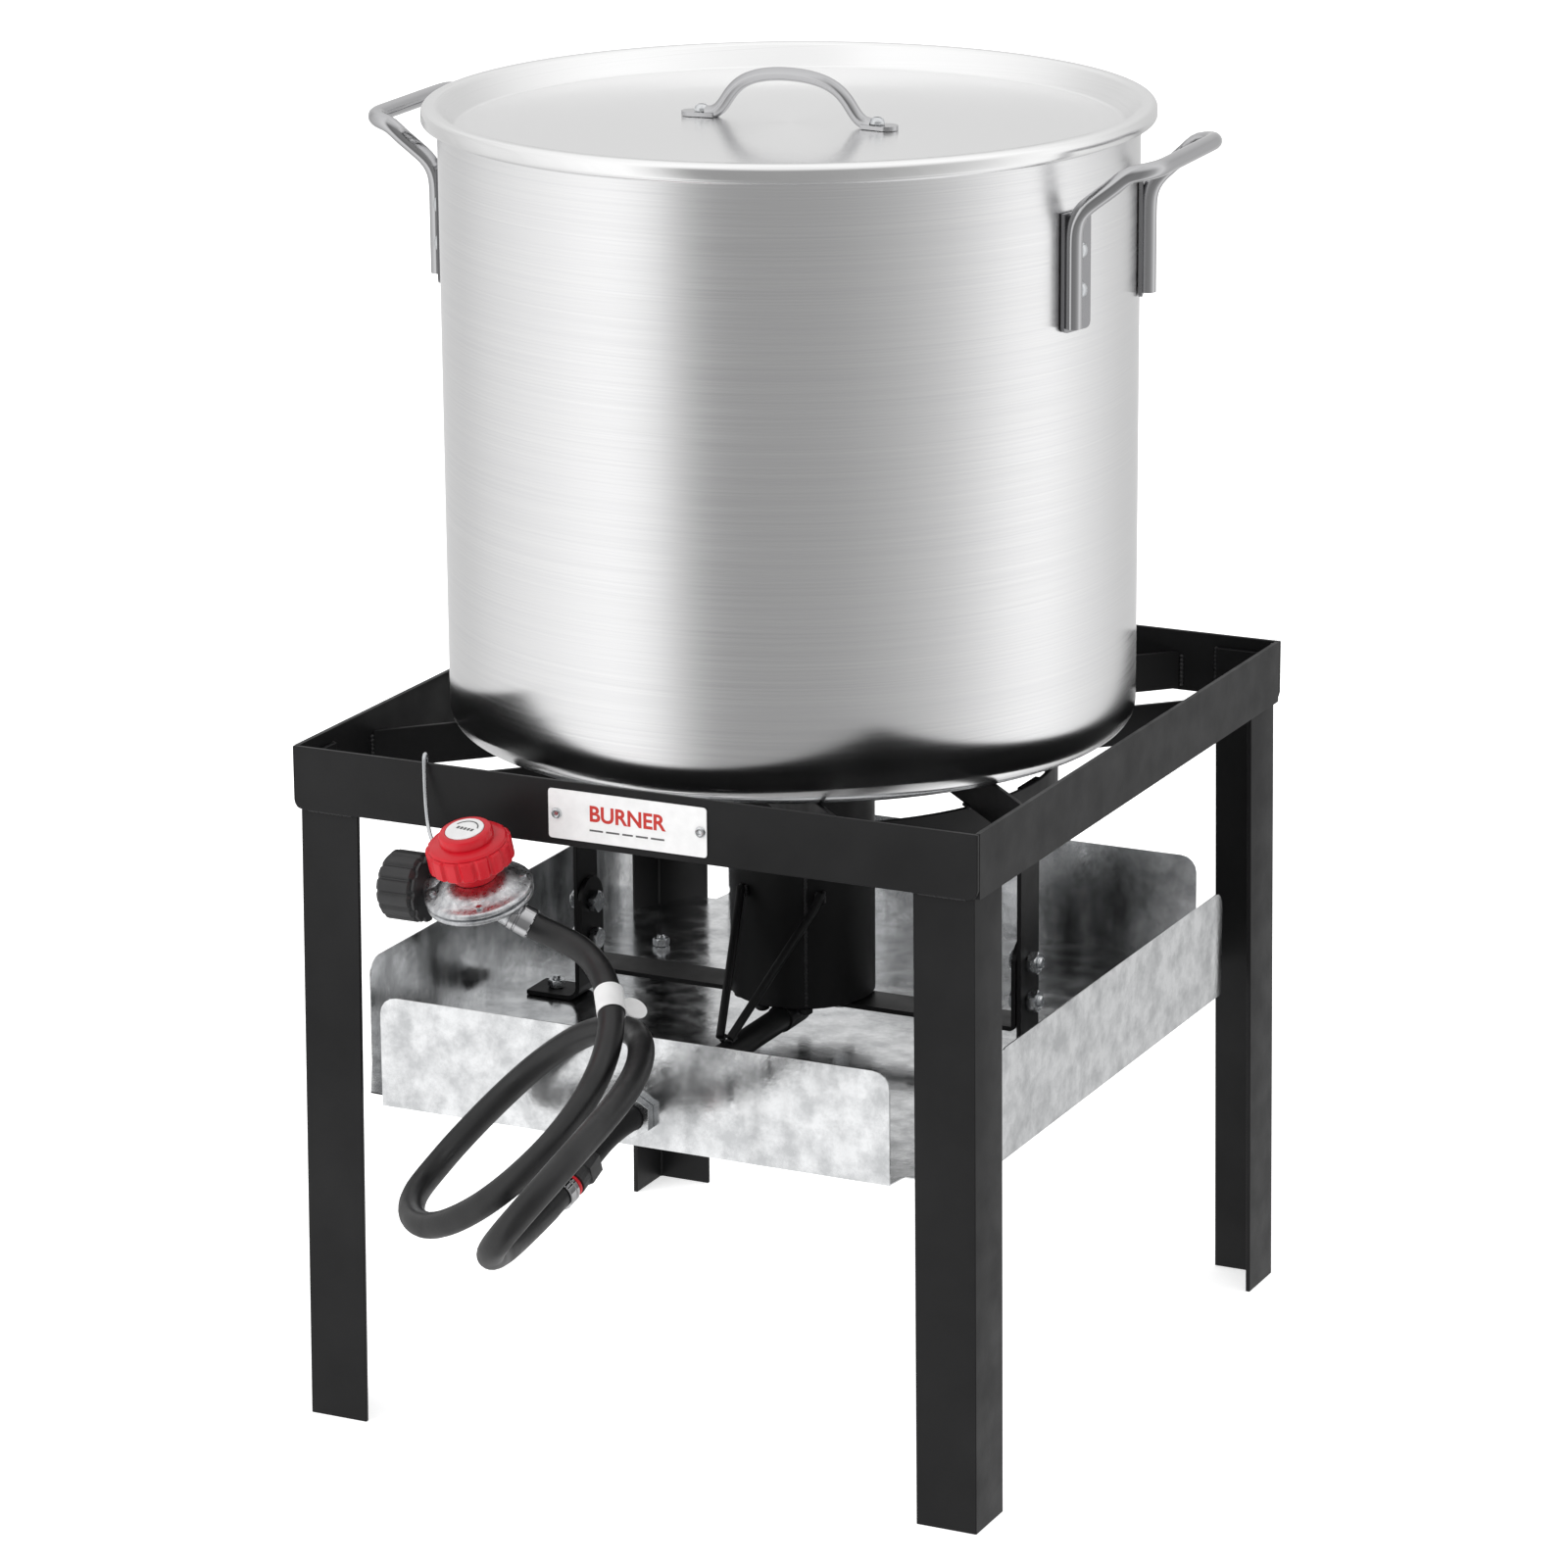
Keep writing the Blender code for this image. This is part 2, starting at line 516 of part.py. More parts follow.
def pot():
    """Deep round pot with a rolled rim."""
    r, t, z0, z1 = POT_R, POT_T, POT_BOTTOM, POT_TOP
    outer = [(x, z) for x, z in arc(r - 12, z0 + 12, 12, 0, -90, 5)]
    inner = [(x, z) for x, z in arc(r - 12, z0 + 12, 12 - t, -90, 0, 5)]
    profile = [(r - t, z1), (r + 2, z1), (r + 2.6, z1 - 2), (r + 2, z1 - 6), (r, z1 - 7), *outer]
    profile = [(0, z0 + t), *inner, *profile[:5], *outer, (0, z0)]
    place("stockpot", moved(lathe(profile, 56), POT_AT), ALU)


def pot_handles():
    """Side handles: bent bar with two riveted straps each."""
    spread, reach, z = math.radians(15.5), 264.0, 793.0
    for name, base in (("pot_handle_right", HANDLE_TURN), ("pot_handle_left", HANDLE_TURN + math.pi)):
        mesh = None
        feet = []
        for s in (-1, 1):
            a = s * spread
            out = Vector((math.cos(a), math.sin(a), 0))
            side = Vector((math.sin(a), -math.cos(a), 0))
            face = POT_R + 0.5
            turn = Matrix(((out.x, -side.x, 0, 0), (out.y, -side.y, 0, 0), (0, 0, 1, 0), (0, 0, 0, 1)))
            strap = moved(box((face, -13.5, 694), (face + 2.5, 13.5, 766)), turn)
            for rz in (742, 718):
                strap = join(strap, moved(rod(5, face + 2, face + 6, 12),
                                          turn @ frame_at((0, 4.5, rz), (1, 0, 0))))
            mesh = strap if mesh is None else join(mesh, strap)
            feet.append([out * (face + 4.5) + side * 8 + Vector((0, 0, h)) for h in (697, 758)])
            feet[-1].append(out * (face + 9) + side * 6 + Vector((0, 0, 770)))
        corner = [Vector((reach - 15, s * 60, z - 3)) for s in (-1, 1)]
        tip = [Vector((reach - 6, s * 48, z)) for s in (-1, 1)]
        line = [*feet[0], corner[0], tip[0], tip[1], corner[1], *feet[1][::-1]]
        mesh = join(mesh, tube(line, 5.2, 2))
        place(name, moved(mesh, POT_AT @ Matrix.Rotation(base, 4, "Z")), STEEL)


LID_SCREW_X = 59.5


def lid():
    """Dished lid with a flared rim that covers the pot's rim, its arch handle and screws."""
    z, top, t, r = LID_PLATE, LID_TOP, 1.5, LID_R
    profile = [(0, z), (205.5, z), (214.5, top - 1.5), (216.5, top), (221.5, top), (r, top - 3.5), (r, top - 9),
               (r - 1.5, top - 10.2), (r - 2.4, top - 9), (r - 2.4, top - 4.2), (220.6, top - t - 0.2),
               (217, top - t - 0.4), (206.5, z - t), (0, z - t)]
    mesh = lathe(profile, 56)
    for s in (-1, 1):
        mesh = cut(mesh, moved(rod(2.4, z - 10, z + 10, 12), Matrix.Translation((s * LID_SCREW_X, 0, 0))))
    place("lid", moved(mesh, POT_AT), ALU)
    foot, base, crown = z + 2.9, 49.0, 827.0
    half = [(50, foot + 1), (45, z + 9), (38, z + 18), (27, crown - 6), (12, crown - 2.5)]
    line = [(-x, 0, h) for x, h in half] + [(x, 0, h) for x, h in half[::-1]]
    grip = tube(line, 4.2, 2)
    for s in (-1, 1):
        pad = box((-14, -6, z + 0.3), (14, 6, z + 3.3))
        grip = join(grip, moved(pad, Matrix.Translation((s * (LID_SCREW_X - 1.5), 0, 0))))
        grip = cut(grip, moved(rod(2.4, z - 10, z + 5, 12), Matrix.Translation((s * LID_SCREW_X, 0, 0))))
    place("lid_handle", moved(grip, POT_AT), STEEL)
    for name, s in (("lid_screw_left", -1), ("lid_screw_right", 1)):
        screw = [(0, 6.8), (3, 6.4), (4.6, 4.2), (4.6, 3.6), (2, 3.6), (2, -5.5), (0, -5.5)]
        place(name, moved(lathe(screw, 14), POT_AT @ Matrix.Translation((s * LID_SCREW_X, 0, z))), ZINC)


ring()
legs()
grate()
heat_band()
straps()
carrier()
fasteners()
tray()
burner()
regulator()
hook()
fittings()
hose()
nameplate()
pot()
pot_handles()
lid()
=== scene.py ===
"""Looks of the propane burner stand: finer meshes, materials, lights and the camera around the CAD model.

Sizes are in millimetres, as in the CAD script, and are scaled to metres when each piece is placed.
"""

import math

import bmesh
import bpy
import numpy as np
from mathutils import Matrix, Vector


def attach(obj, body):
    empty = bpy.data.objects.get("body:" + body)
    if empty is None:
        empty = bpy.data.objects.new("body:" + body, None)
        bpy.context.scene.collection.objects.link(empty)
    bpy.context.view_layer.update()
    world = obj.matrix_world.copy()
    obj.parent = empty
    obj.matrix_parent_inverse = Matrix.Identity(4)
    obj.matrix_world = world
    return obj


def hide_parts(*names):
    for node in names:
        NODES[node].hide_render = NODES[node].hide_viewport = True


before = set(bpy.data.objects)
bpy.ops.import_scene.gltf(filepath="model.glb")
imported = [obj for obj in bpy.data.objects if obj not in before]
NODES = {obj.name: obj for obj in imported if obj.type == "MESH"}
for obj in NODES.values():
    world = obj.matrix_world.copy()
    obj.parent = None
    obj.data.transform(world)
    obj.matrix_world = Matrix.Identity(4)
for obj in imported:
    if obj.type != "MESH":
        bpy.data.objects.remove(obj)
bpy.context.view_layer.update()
SCENE = bpy.context.scene
MM = 0.001

# Dimensions shared with the CAD script
RING_X, RING_Y, RING_T, RING_BOTTOM, RING_TOP = 228.5, 240.2, 3.0, 396.0, 436.0
LEG_W, LEG_TOP = 39.5, 428.0
GRATE_OFFSET, GRATE_BOTTOM, GRATE_TOP = 80.0, 397.0, 422.0
BAND_R, BAND_T, BAND_BOTTOM, BAND_TOP = 161.3, 3.0, 372.0, 396.7
TRAY_FLOOR, STRAP_X, STRAP_HALF = 213.5, 154.2, 14.0
FOOT_BOLT_X, BURNER_BOLT_X, CARRIER_BOLT_ZS, TRAY_BOLT_AT = 178.0, 26.0, (279.0, 254.0), (161.0, 116.0)
GUARD_R, GUARD_T, GUARD_BOTTOM, GUARD_TOP = 46.0, 2.5, 241.5, 385.0
PIPE_R, PIPE_X, PIPE_Z = 8.0, 4.0, 233.0
REG_C = Vector((-81.0, -275.0, 371.0))
REG_N = Vector((-0.054, -0.277, 0.960)).normalized()
HOOK_EYE = Vector((-109.2, -266.0, 382.0))
HOSE_R = 8.0
FERRULE_A, FERRULE_B = Vector((-62.0, -269.5, 359.0)), Vector((-50.5, -266.2, 352.8))
FITTING_A, FITTING_B = Vector((4.0, -305.0, 225.0)), Vector((4.0, -329.0, 216.0))
FITTING_C = Vector((4.0, -341.0, 213.8))
POT_R, POT_T, POT_BOTTOM, POT_TOP = 215.0, 1.6, 422.3, 803.0
LID_R, LID_PLATE, LID_TOP, LID_SCREW_X = 225.0, 796.0, 810.5, 59.5
POT_AT = Matrix.Translation((-6.0, 0.0, 0.0))
HANDLE_TURN = math.radians(2.8)
GAP = 0.3

HOSE_ROUTE = [
    (-50, -266, 352.5), (-38, -263, 347), (-20, -265, 343), (-4, -273, 337), (10, -286, 329),
    (24, -306, 316), (33, -332, 302), (36, -360, 288), (31, -385, 271), (15, -399, 251),
    (-10, -402, 228), (-40, -394, 208), (-65, -381, 197), (-86, -361, 195), (-96, -337, 199),
    (-96, -315, 205), (-92, -294, 216), (-78, -271, 236), (-60, -259, 256), (-39, -255, 274),
    (-16, -258, 289), (10, -270, 299), (34, -292, 303), (51, -321, 303), (63, -354, 300),
    (69, -391, 295), (69, -426, 287), (64, -453, 275), (53, -470, 258), (38, -474, 239),
    (23, -462, 222), (14, -440, 211), (9, -413, 207), (5, -378, 208), (4, -353, 211), (4, -341, 213.8),
]

# Camera, from the centre of the floor under the frame
CAMERA_AT = (1.5716, -3.2484, 1.4289)
CAMERA_TURN, CAMERA_TILT, CAMERA_ROLL, LENS = 25.998, 16.27, -0.412, 136.9


# Materials ---------------------------------------------------------------------------------------------

class Look:
    """A Principled material with short helpers for its texture nodes."""

    def __init__(self, name, base, metallic=0.0, rough=0.5, **settings):
        self.mat = bpy.data.materials.new(name)
        self.mat.use_nodes = True
        self.tree = self.mat.node_tree
        self.shader = self.tree.nodes["Principled BSDF"]
        self.shader.inputs["Base Color"].default_value = (*base, 1)
        self.shader.inputs["Metallic"].default_value = metallic
        self.shader.inputs["Roughness"].default_value = rough
        for key, value in settings.items():
            self.shader.inputs[key.replace("_", " ")].default_value = value
        self.coords = self.tree.nodes.new("ShaderNodeTexCoord").outputs["Object"]
        self.height = None

    def node(self, kind, **values):
        node = self.tree.nodes.new(kind)
        for key, value in values.items():
            if key in node.inputs:
                node.inputs[key].default_value = value
            else:
                setattr(node, key, value)
        return node

    def link(self, out, into):
        self.tree.links.new(out, into)

    def stretched(self, x, y, z):
        mapping = self.node("ShaderNodeMapping")
        mapping.inputs["Scale"].default_value = (x, y, z)
        self.link(self.coords, mapping.inputs["Vector"])
        return mapping.outputs["Vector"]

    def noise(self, scale, detail=3.0, coords=None, rough=0.5):
        noise = self.node("ShaderNodeTexNoise", Scale=scale, Detail=detail, Roughness=rough)
        self.link(coords or self.coords, noise.inputs["Vector"])
        return noise.outputs["Fac"]

    def cells(self, scale, output="Color"):
        cells = self.node("ShaderNodeTexVoronoi", Scale=scale)
        self.link(self.coords, cells.inputs["Vector"])
        return cells.outputs[output]

    def between(self, value, low, high, start=0.3, end=0.7):
        ranger = self.node("ShaderNodeMapRange")
        for key, number in (("From Min", start), ("From Max", end), ("To Min", low), ("To Max", high)):
            ranger.inputs[key].default_value = number
        self.link(value, ranger.inputs["Value"])
        return ranger.outputs["Result"]

    def rough_from(self, value, low, high):
        self.link(self.between(value, low, high), self.shader.inputs["Roughness"])
        return self

    def colour_from(self, value, dark, light, start=0.3, end=0.7):
        ramp = self.node("ShaderNodeValToRGB")
        ramp.color_ramp.elements[0].position, ramp.color_ramp.elements[1].position = start, end
        ramp.color_ramp.elements[0].color, ramp.color_ramp.elements[1].color = (*dark, 1), (*light, 1)
        self.link(value, ramp.inputs["Fac"])
        self.link(ramp.outputs["Color"], self.shader.inputs["Base Color"])
        return self

    def bump(self, value, depth, strength=1.0):
        bump = self.node("ShaderNodeBump", Strength=strength, Distance=depth)
        self.link(value, bump.inputs["Height"])
        if self.height:
            self.link(self.height, bump.inputs["Normal"])
        self.height = bump.outputs["Normal"]
        self.link(self.height, self.shader.inputs["Normal"])
        return self

    def around_z(self):
        tangent = self.node("ShaderNodeTangent", direction_type="RADIAL", axis="Z")
        self.link(tangent.outputs["Tangent"], self.shader.inputs["Tangent"])
        return self

    def radius(self, scale):
        parts = self.node("ShaderNodeVectorMath", operation="MULTIPLY")
        parts.inputs[1].default_value = (scale, scale, 0)
        self.link(self.coords, parts.inputs[0])
        length = self.node("ShaderNodeVectorMath", operation="LENGTH")
        self.link(parts.outputs["Vector"], length.inputs[0])
        join = self.node("ShaderNodeCombineXYZ")
        self.link(length.outputs["Value"], join.inputs["X"])
        return join.outputs["Vector"]


def black_paint():
    look = Look("satin_black", (0.016, 0.016, 0.017), 0.0, 0.42, Specular_IOR_Level=0.2)
    cloudy = look.noise(9, 5)
    look.colour_from(cloudy, (0.008, 0.008, 0.0085), (0.014, 0.014, 0.0145))
    look.rough_from(look.noise(40, 4), 0.36, 0.5)
    look.bump(look.noise(900, 2), 0.00010, 0.35).bump(look.noise(120, 3), 0.00012, 0.3)
    return look.mat


def weld_metal():
    look = Look("painted_weld", (0.014, 0.014, 0.015), 0.0, 0.36)
    look.bump(look.noise(500, 3), 0.0004, 0.6)
    return look.mat


def galvanised():
    look = Look("galvanised", (0.72, 0.73, 0.74), 1.0, 0.2)
    look.colour_from(look.noise(55, 6, rough=0.65), (0.56, 0.57, 0.58), (0.84, 0.85, 0.86), 0.36, 0.62)
    streaks = look.noise(1, 5, look.stretched(60, 60, 14))
    look.rough_from(streaks, 0.10, 0.27)
    look.bump(look.cells(160, "Distance"), 0.00010, 0.12).bump(look.noise(300, 4), 0.00010, 0.35)
    return look.mat


def cast_iron():
    look = Look("cast_iron", (0.02, 0.02, 0.021), 0.3, 0.6)
    look.rough_from(look.noise(80, 4), 0.5, 0.75)
    look.bump(look.noise(450, 5), 0.0005, 0.7)
    return look.mat


def zinc():
    look = Look("zinc_plated", (0.66, 0.67, 0.70), 1.0, 0.24)
    look.colour_from(look.noise(70, 3), (0.58, 0.60, 0.62), (0.76, 0.77, 0.78))
    look.rough_from(look.noise(200, 3), 0.16, 0.34)
    look.bump(look.noise(900, 2), 0.00005, 0.4)
    return look.mat


def die_cast():
    look = Look("die_cast_zinc", (0.60, 0.61, 0.63), 1.0, 0.32)
    look.colour_from(look.noise(260, 5), (0.46, 0.47, 0.49), (0.78, 0.79, 0.80))
    look.rough_from(look.noise(500, 4), 0.22, 0.48)
    look.bump(look.noise(900, 4), 0.00025, 0.8)
    return look.mat


def polished():
    look = Look("polished_steel", (0.52, 0.52, 0.53), 1.0, 0.09)
    look.rough_from(look.noise(60, 4), 0.05, 0.12)
    look.bump(look.noise(300, 2), 0.00003, 0.3)
    return look.mat


def handle_tab():
    look = Look("handle_tab", (0.36, 0.36, 0.37), 1.0, 0.3)
    look.rough_from(look.noise(120, 3), 0.24, 0.38)
    look.bump(look.noise(500, 2), 0.00004, 0.3)
    return look.mat


def pot_side():
    look = Look("brushed_side", (0.93, 0.93, 0.94), 1.0, 0.22, Anisotropic=0.9)
    lines = look.noise(1, 4, look.stretched(4, 4, 1400), 0.6)
    look.colour_from(lines, (0.87, 0.87, 0.88), (0.94, 0.94, 0.94))
    look.rough_from(look.noise(1, 3, look.stretched(3, 3, 500)), 0.20, 0.24)
    look.bump(lines, 0.00001, 0.12).around_z()
    return look.mat


def lid_top():
    look = Look("spun_lid", (0.93, 0.93, 0.93), 1.0, 0.2, Anisotropic=0.8)
    rings = look.noise(1, 4, look.radius(1500), 0.6)
    look.colour_from(rings, (0.90, 0.90, 0.90), (0.97, 0.97, 0.97))
    look.rough_from(look.noise(1, 3, look.radius(300)), 0.16, 0.24)
    look.bump(rings, 0.00001, 0.15).around_z()
    return look.mat


def red_plastic():
    look = Look("red_plastic", (0.6, 0.002, 0.012), 0.0, 0.33, Specular_IOR_Level=0.4)
    look.shader.inputs["Coat Weight"].default_value = 0.15
    look.colour_from(look.noise(30, 3), (0.50, 0.002, 0.010), (0.60, 0.003, 0.015))
    look.rough_from(look.noise(90, 3), 0.28, 0.42)
    look.bump(look.noise(1400, 2), 0.00005, 0.3)
    return look.mat


def black_plastic():
    look = Look("black_plastic", (0.022, 0.022, 0.023), 0.0, 0.46)
    look.rough_from(look.noise(80, 3), 0.38, 0.55)
    look.bump(look.noise(1500, 2), 0.00008, 0.4)
    return look.mat


def rubber():
    look = Look("hose_rubber", (0.017, 0.017, 0.018), 0.0, 0.38)
    look.colour_from(look.noise(25, 4), (0.006, 0.006, 0.0065), (0.013, 0.013, 0.0135))
    look.rough_from(look.noise(60, 5), 0.28, 0.5)
    look.bump(look.noise(700, 4), 0.00012, 0.5)
    return look.mat


def label_stock():
    look = Look("label_white", (0.80, 0.80, 0.80), 0.0, 0.35)
    look.colour_from(look.noise(120, 3), (0.77, 0.77, 0.77), (0.84, 0.84, 0.84))
    look.bump(look.noise(900, 2), 0.00003, 0.3)
    return look.mat


def ink(name, colour):
    look = Look(name, colour, 0.0, 0.45)
    look.rough_from(look.noise(300, 2), 0.38, 0.52)
    return look.mat


LOOKS = {
    "paint": black_paint(), "weld": weld_metal(), "galvanised": galvanised(), "cast": cast_iron(),
    "zinc": zinc(), "die_cast": die_cast(), "polished": polished(), "pot": pot_side(), "lid": lid_top(),
    "red": red_plastic(),
    "plastic": black_plastic(), "tab": handle_tab(), "rubber": rubber(), "label": label_stock(),
    "red_ink": ink("red_ink", (0.52, 0.02, 0.012)), "grey_ink": ink("grey_ink", (0.10, 0.10, 0.10)),
}


# Mesh helpers ------------------------------------------------------------------------------------------

def from_bmesh(bm):
    bmesh.ops.remove_doubles(bm, verts=bm.verts, dist=0.004)
    bmesh.ops.recalc_face_normals(bm, faces=bm.faces)
    mesh = bpy.data.meshes.new("piece")
    bm.to_mesh(mesh)
    bm.free()
    return mesh


def evaluated(data):
    """Mesh of a curve as Blender evaluates it."""
    temp = bpy.data.objects.new("temp", data)
    SCENE.collection.objects.link(temp)
    deps = bpy.context.evaluated_depsgraph_get()
    deps.update()
    mesh = bpy.data.meshes.new_from_object(temp.evaluated_get(deps))
    bpy.data.objects.remove(temp)
    bm = bmesh.new()
    bm.from_mesh(mesh)
    return from_bmesh(bm)


def slab(outline, thickness):
    """Flat plate from a closed outline in XY, centred on Z = 0."""
    curve = bpy.data.curves.new("outline", "CURVE")
    curve.dimensions, curve.fill_mode, curve.extrude = "2D", "BOTH", thickness / 2
    spline = curve.splines.new("POLY")
    spline.points.add(len(outline) - 1)
    for point, (x, y) in zip(spline.points, outline):
        point.co = (x, y, 0, 1)
    spline.use_cyclic_u = True
    return evaluated(curve)


def wire_curve(points, radius, resolution=5, swell=None):
    """Curve data of a round wire; swell gives each point's own share of the radius."""
    curve = bpy.data.curves.new("wire", "CURVE")
    curve.dimensions, curve.bevel_depth, curve.bevel_resolution = "3D", radius, resolution
    curve.use_fill_caps = True
    spline = curve.splines.new("POLY")
    spline.points.add(len(points) - 1)
    for i, (point, at) in enumerate(zip(spline.points, points)):
        point.co = (*at, 1)
        point.radius = swell[i] if swell else 1
    return curve


def wire(points, radius, resolution=5, swell=None):
    return evaluated(wire_curve(points, radius, resolution, swell))


def lathe(profile, steps=128):
    """Turned solid about Z from a closed (radius, z) profile, or one that starts and ends on the axis."""
    bm = bmesh.new()
    verts = [bm.verts.new((r, 0, z)) for r, z in profile]
    edges = [bm.edges.new(pair) for pair in zip(verts, verts[1:])]
    if profile[0][0] > 0:
        edges.append(bm.edges.new((verts[-1], verts[0])))
    bmesh.ops.spin(bm, geom=verts + edges, axis=(0, 0, 1), cent=(0, 0, 0), steps=steps, angle=math.tau,
                   use_merge=True)
    return from_bmesh(bm)


def prism(radius, bottom, top, sides=6):
    bm = bmesh.new()
    bmesh.ops.create_cone(bm, cap_ends=True, segments=sides, radius1=radius, radius2=radius,
                          depth=top - bottom)
    bmesh.ops.translate(bm, verts=bm.verts, vec=(0, 0, (top + bottom) / 2))
    return from_bmesh(bm)


def moved(mesh, matrix):
    mesh.transform(matrix)
    return mesh


def shift(x, y, z):
    return Matrix.Translation((x, y, z))


def frame_at(origin, direction):
    """Matrix that puts local Z on a direction, with its origin at a point."""
    turn = Vector(direction).to_track_quat("Z", "Y").to_matrix().to_4x4()
    return Matrix.Translation(Vector(origin)) @ turn


def merged(*meshes):
    """Several closed shells as one mesh."""
    bm = bmesh.new()
    for mesh in meshes:
        bm.from_mesh(mesh)
    mesh = bpy.data.meshes.new("piece")
    bm.to_mesh(mesh)
    bm.free()
    return mesh


def cut(base, tool):
    """Boolean difference of two meshes."""
    pair = [bpy.data.objects.new("temp", mesh) for mesh in (base, tool)]
    for obj in pair:
        SCENE.collection.objects.link(obj)
    mod = pair[0].modifiers.new("cut", "BOOLEAN")
    mod.operation, mod.solver, mod.object = "DIFFERENCE", "EXACT", pair[1]
    deps = bpy.context.evaluated_depsgraph_get()
    deps.update()
    mesh = bpy.data.meshes.new_from_object(pair[0].evaluated_get(deps))
    for obj in pair:
        bpy.data.objects.remove(obj)
    return mesh


def ring_wall(outer, thickness, bottom, top, edge=0.5):
    """Outline of an upright round wall with chamfered edges."""
    inner = outer - thickness
    return [(inner, top - edge), (inner + edge, top), (outer - edge, top), (outer, top - edge),
            (outer, bottom + edge), (outer - edge, bottom), (inner + edge, bottom), (inner, bottom + edge)]


def arc(cx, cy, r, start, end, steps):
    angles = [math.radians(start + (end - start) * i / steps) for i in range(steps + 1)]
    return [(cx + r * math.cos(a), cy + r * math.sin(a)) for a in angles]


def smooth_line(points, spacing):
    """Even points on a smooth curve that follows a list of given points."""
    p = np.array(points, float)
    p = np.vstack([2 * p[0] - p[1], p, 2 * p[-1] - p[-2]])
    fine = []
    for a, b, c, d in zip(p, p[1:], p[2:], p[3:]):
        for t in np.linspace(0, 1, 12, endpoint=False):
            fine.append(((1 - t) ** 3 * a + (3 * t ** 3 - 6 * t * t + 4) * b
                         + (-3 * t ** 3 + 3 * t * t + 3 * t + 1) * c + t ** 3 * d) / 6)
    fine = np.array(fine + [p[-2]])
    run = np.concatenate([[0], np.cumsum(np.linalg.norm(np.diff(fine, axis=0), axis=1))])
    at = np.linspace(0, run[-1], int(run[-1] / spacing) + 1)
    return np.stack([np.interp(at, run, fine[:, k]) for k in range(3)], axis=1)


def show(name, mesh, look, body, replaces=(), smooth=30, bevel=0.0):
    """Place a finished piece, scaled to metres, on the body it moves with."""
    mesh.transform(Matrix.Scale(MM, 4))
    for face in mesh.polygons:
        face.use_smooth = smooth > 0
    if smooth:
        mesh.set_sharp_from_angle(angle=math.radians(smooth))
    obj = bpy.data.objects.new(name, mesh)
    SCENE.collection.objects.link(obj)
    mesh.materials.clear()
    mesh.materials.append(LOOKS[look])
    if bevel:
        add_bevel(obj, bevel * MM)
    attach(obj, body)
    if replaces:
        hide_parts(*replaces)
    return obj


def add_bevel(obj, width):
    weld = obj.modifiers.new("weld", "WELD")
    weld.merge_threshold = 0.00001
    bevel = obj.modifiers.new("bevel", "BEVEL")
    bevel.width, bevel.segments, bevel.limit_method = width, 2, "ANGLE"
    bevel.angle_limit, bevel.harden_normals = math.radians(35), True


UPRIGHT_XZ = Matrix.Rotation(math.pi / 2, 4, "X")


# Pieces kept from the CAD model ------------------------------------------------------------------------

KEPT = {
    "paint": ("rail_front", "rail_back", "rail_left", "rail_right", "leg_front_left", "leg_front_right",
              "leg_back_left", "leg_back_right", "grate_bar_a", "grate_bar_b", "grate_bar_c", "grate_bar_d",
              "strap_left", "strap_right", "burner_carrier"),
    "galvanised": ("tray",), "cast": ("burner_casting",), "label": ("nameplate",), "zinc": ("lock_nut",),
    "plastic": ("pipe_adapter",),
}
BEVELS = {"tray": 0.0002, "nameplate": 0.0002, "lock_nut": 0.0005, "pipe_adapter": 0.0008}


def keep_cad():
    """Materials and softened edges for the CAD pieces whose shape is right."""
    for look, names in KEPT.items():
        for name in names:
            obj = NODES[name]
            for slot in obj.material_slots:
                slot.material = LOOKS[look]
            add_bevel(obj, BEVELS.get(name, 0.0006))


# Frame -------------------------------------------------------------------------------------------------

def bead(start, end, radius=1.7):
    """Weld bead: a run of overlapping ripples."""
    start, end = Vector(start), Vector(end)
    count = max(6, int((end - start).length / 0.9))
    swell = [0.86 + 0.16 * math.sin(i * 2.1) + 0.06 * math.sin(i * 0.7 + start.x) for i in range(count + 1)]
    swell[0] = swell[-1] = 0.45
    return wire([start.lerp(end, i / count) for i in range(count + 1)], radius, 3, swell)


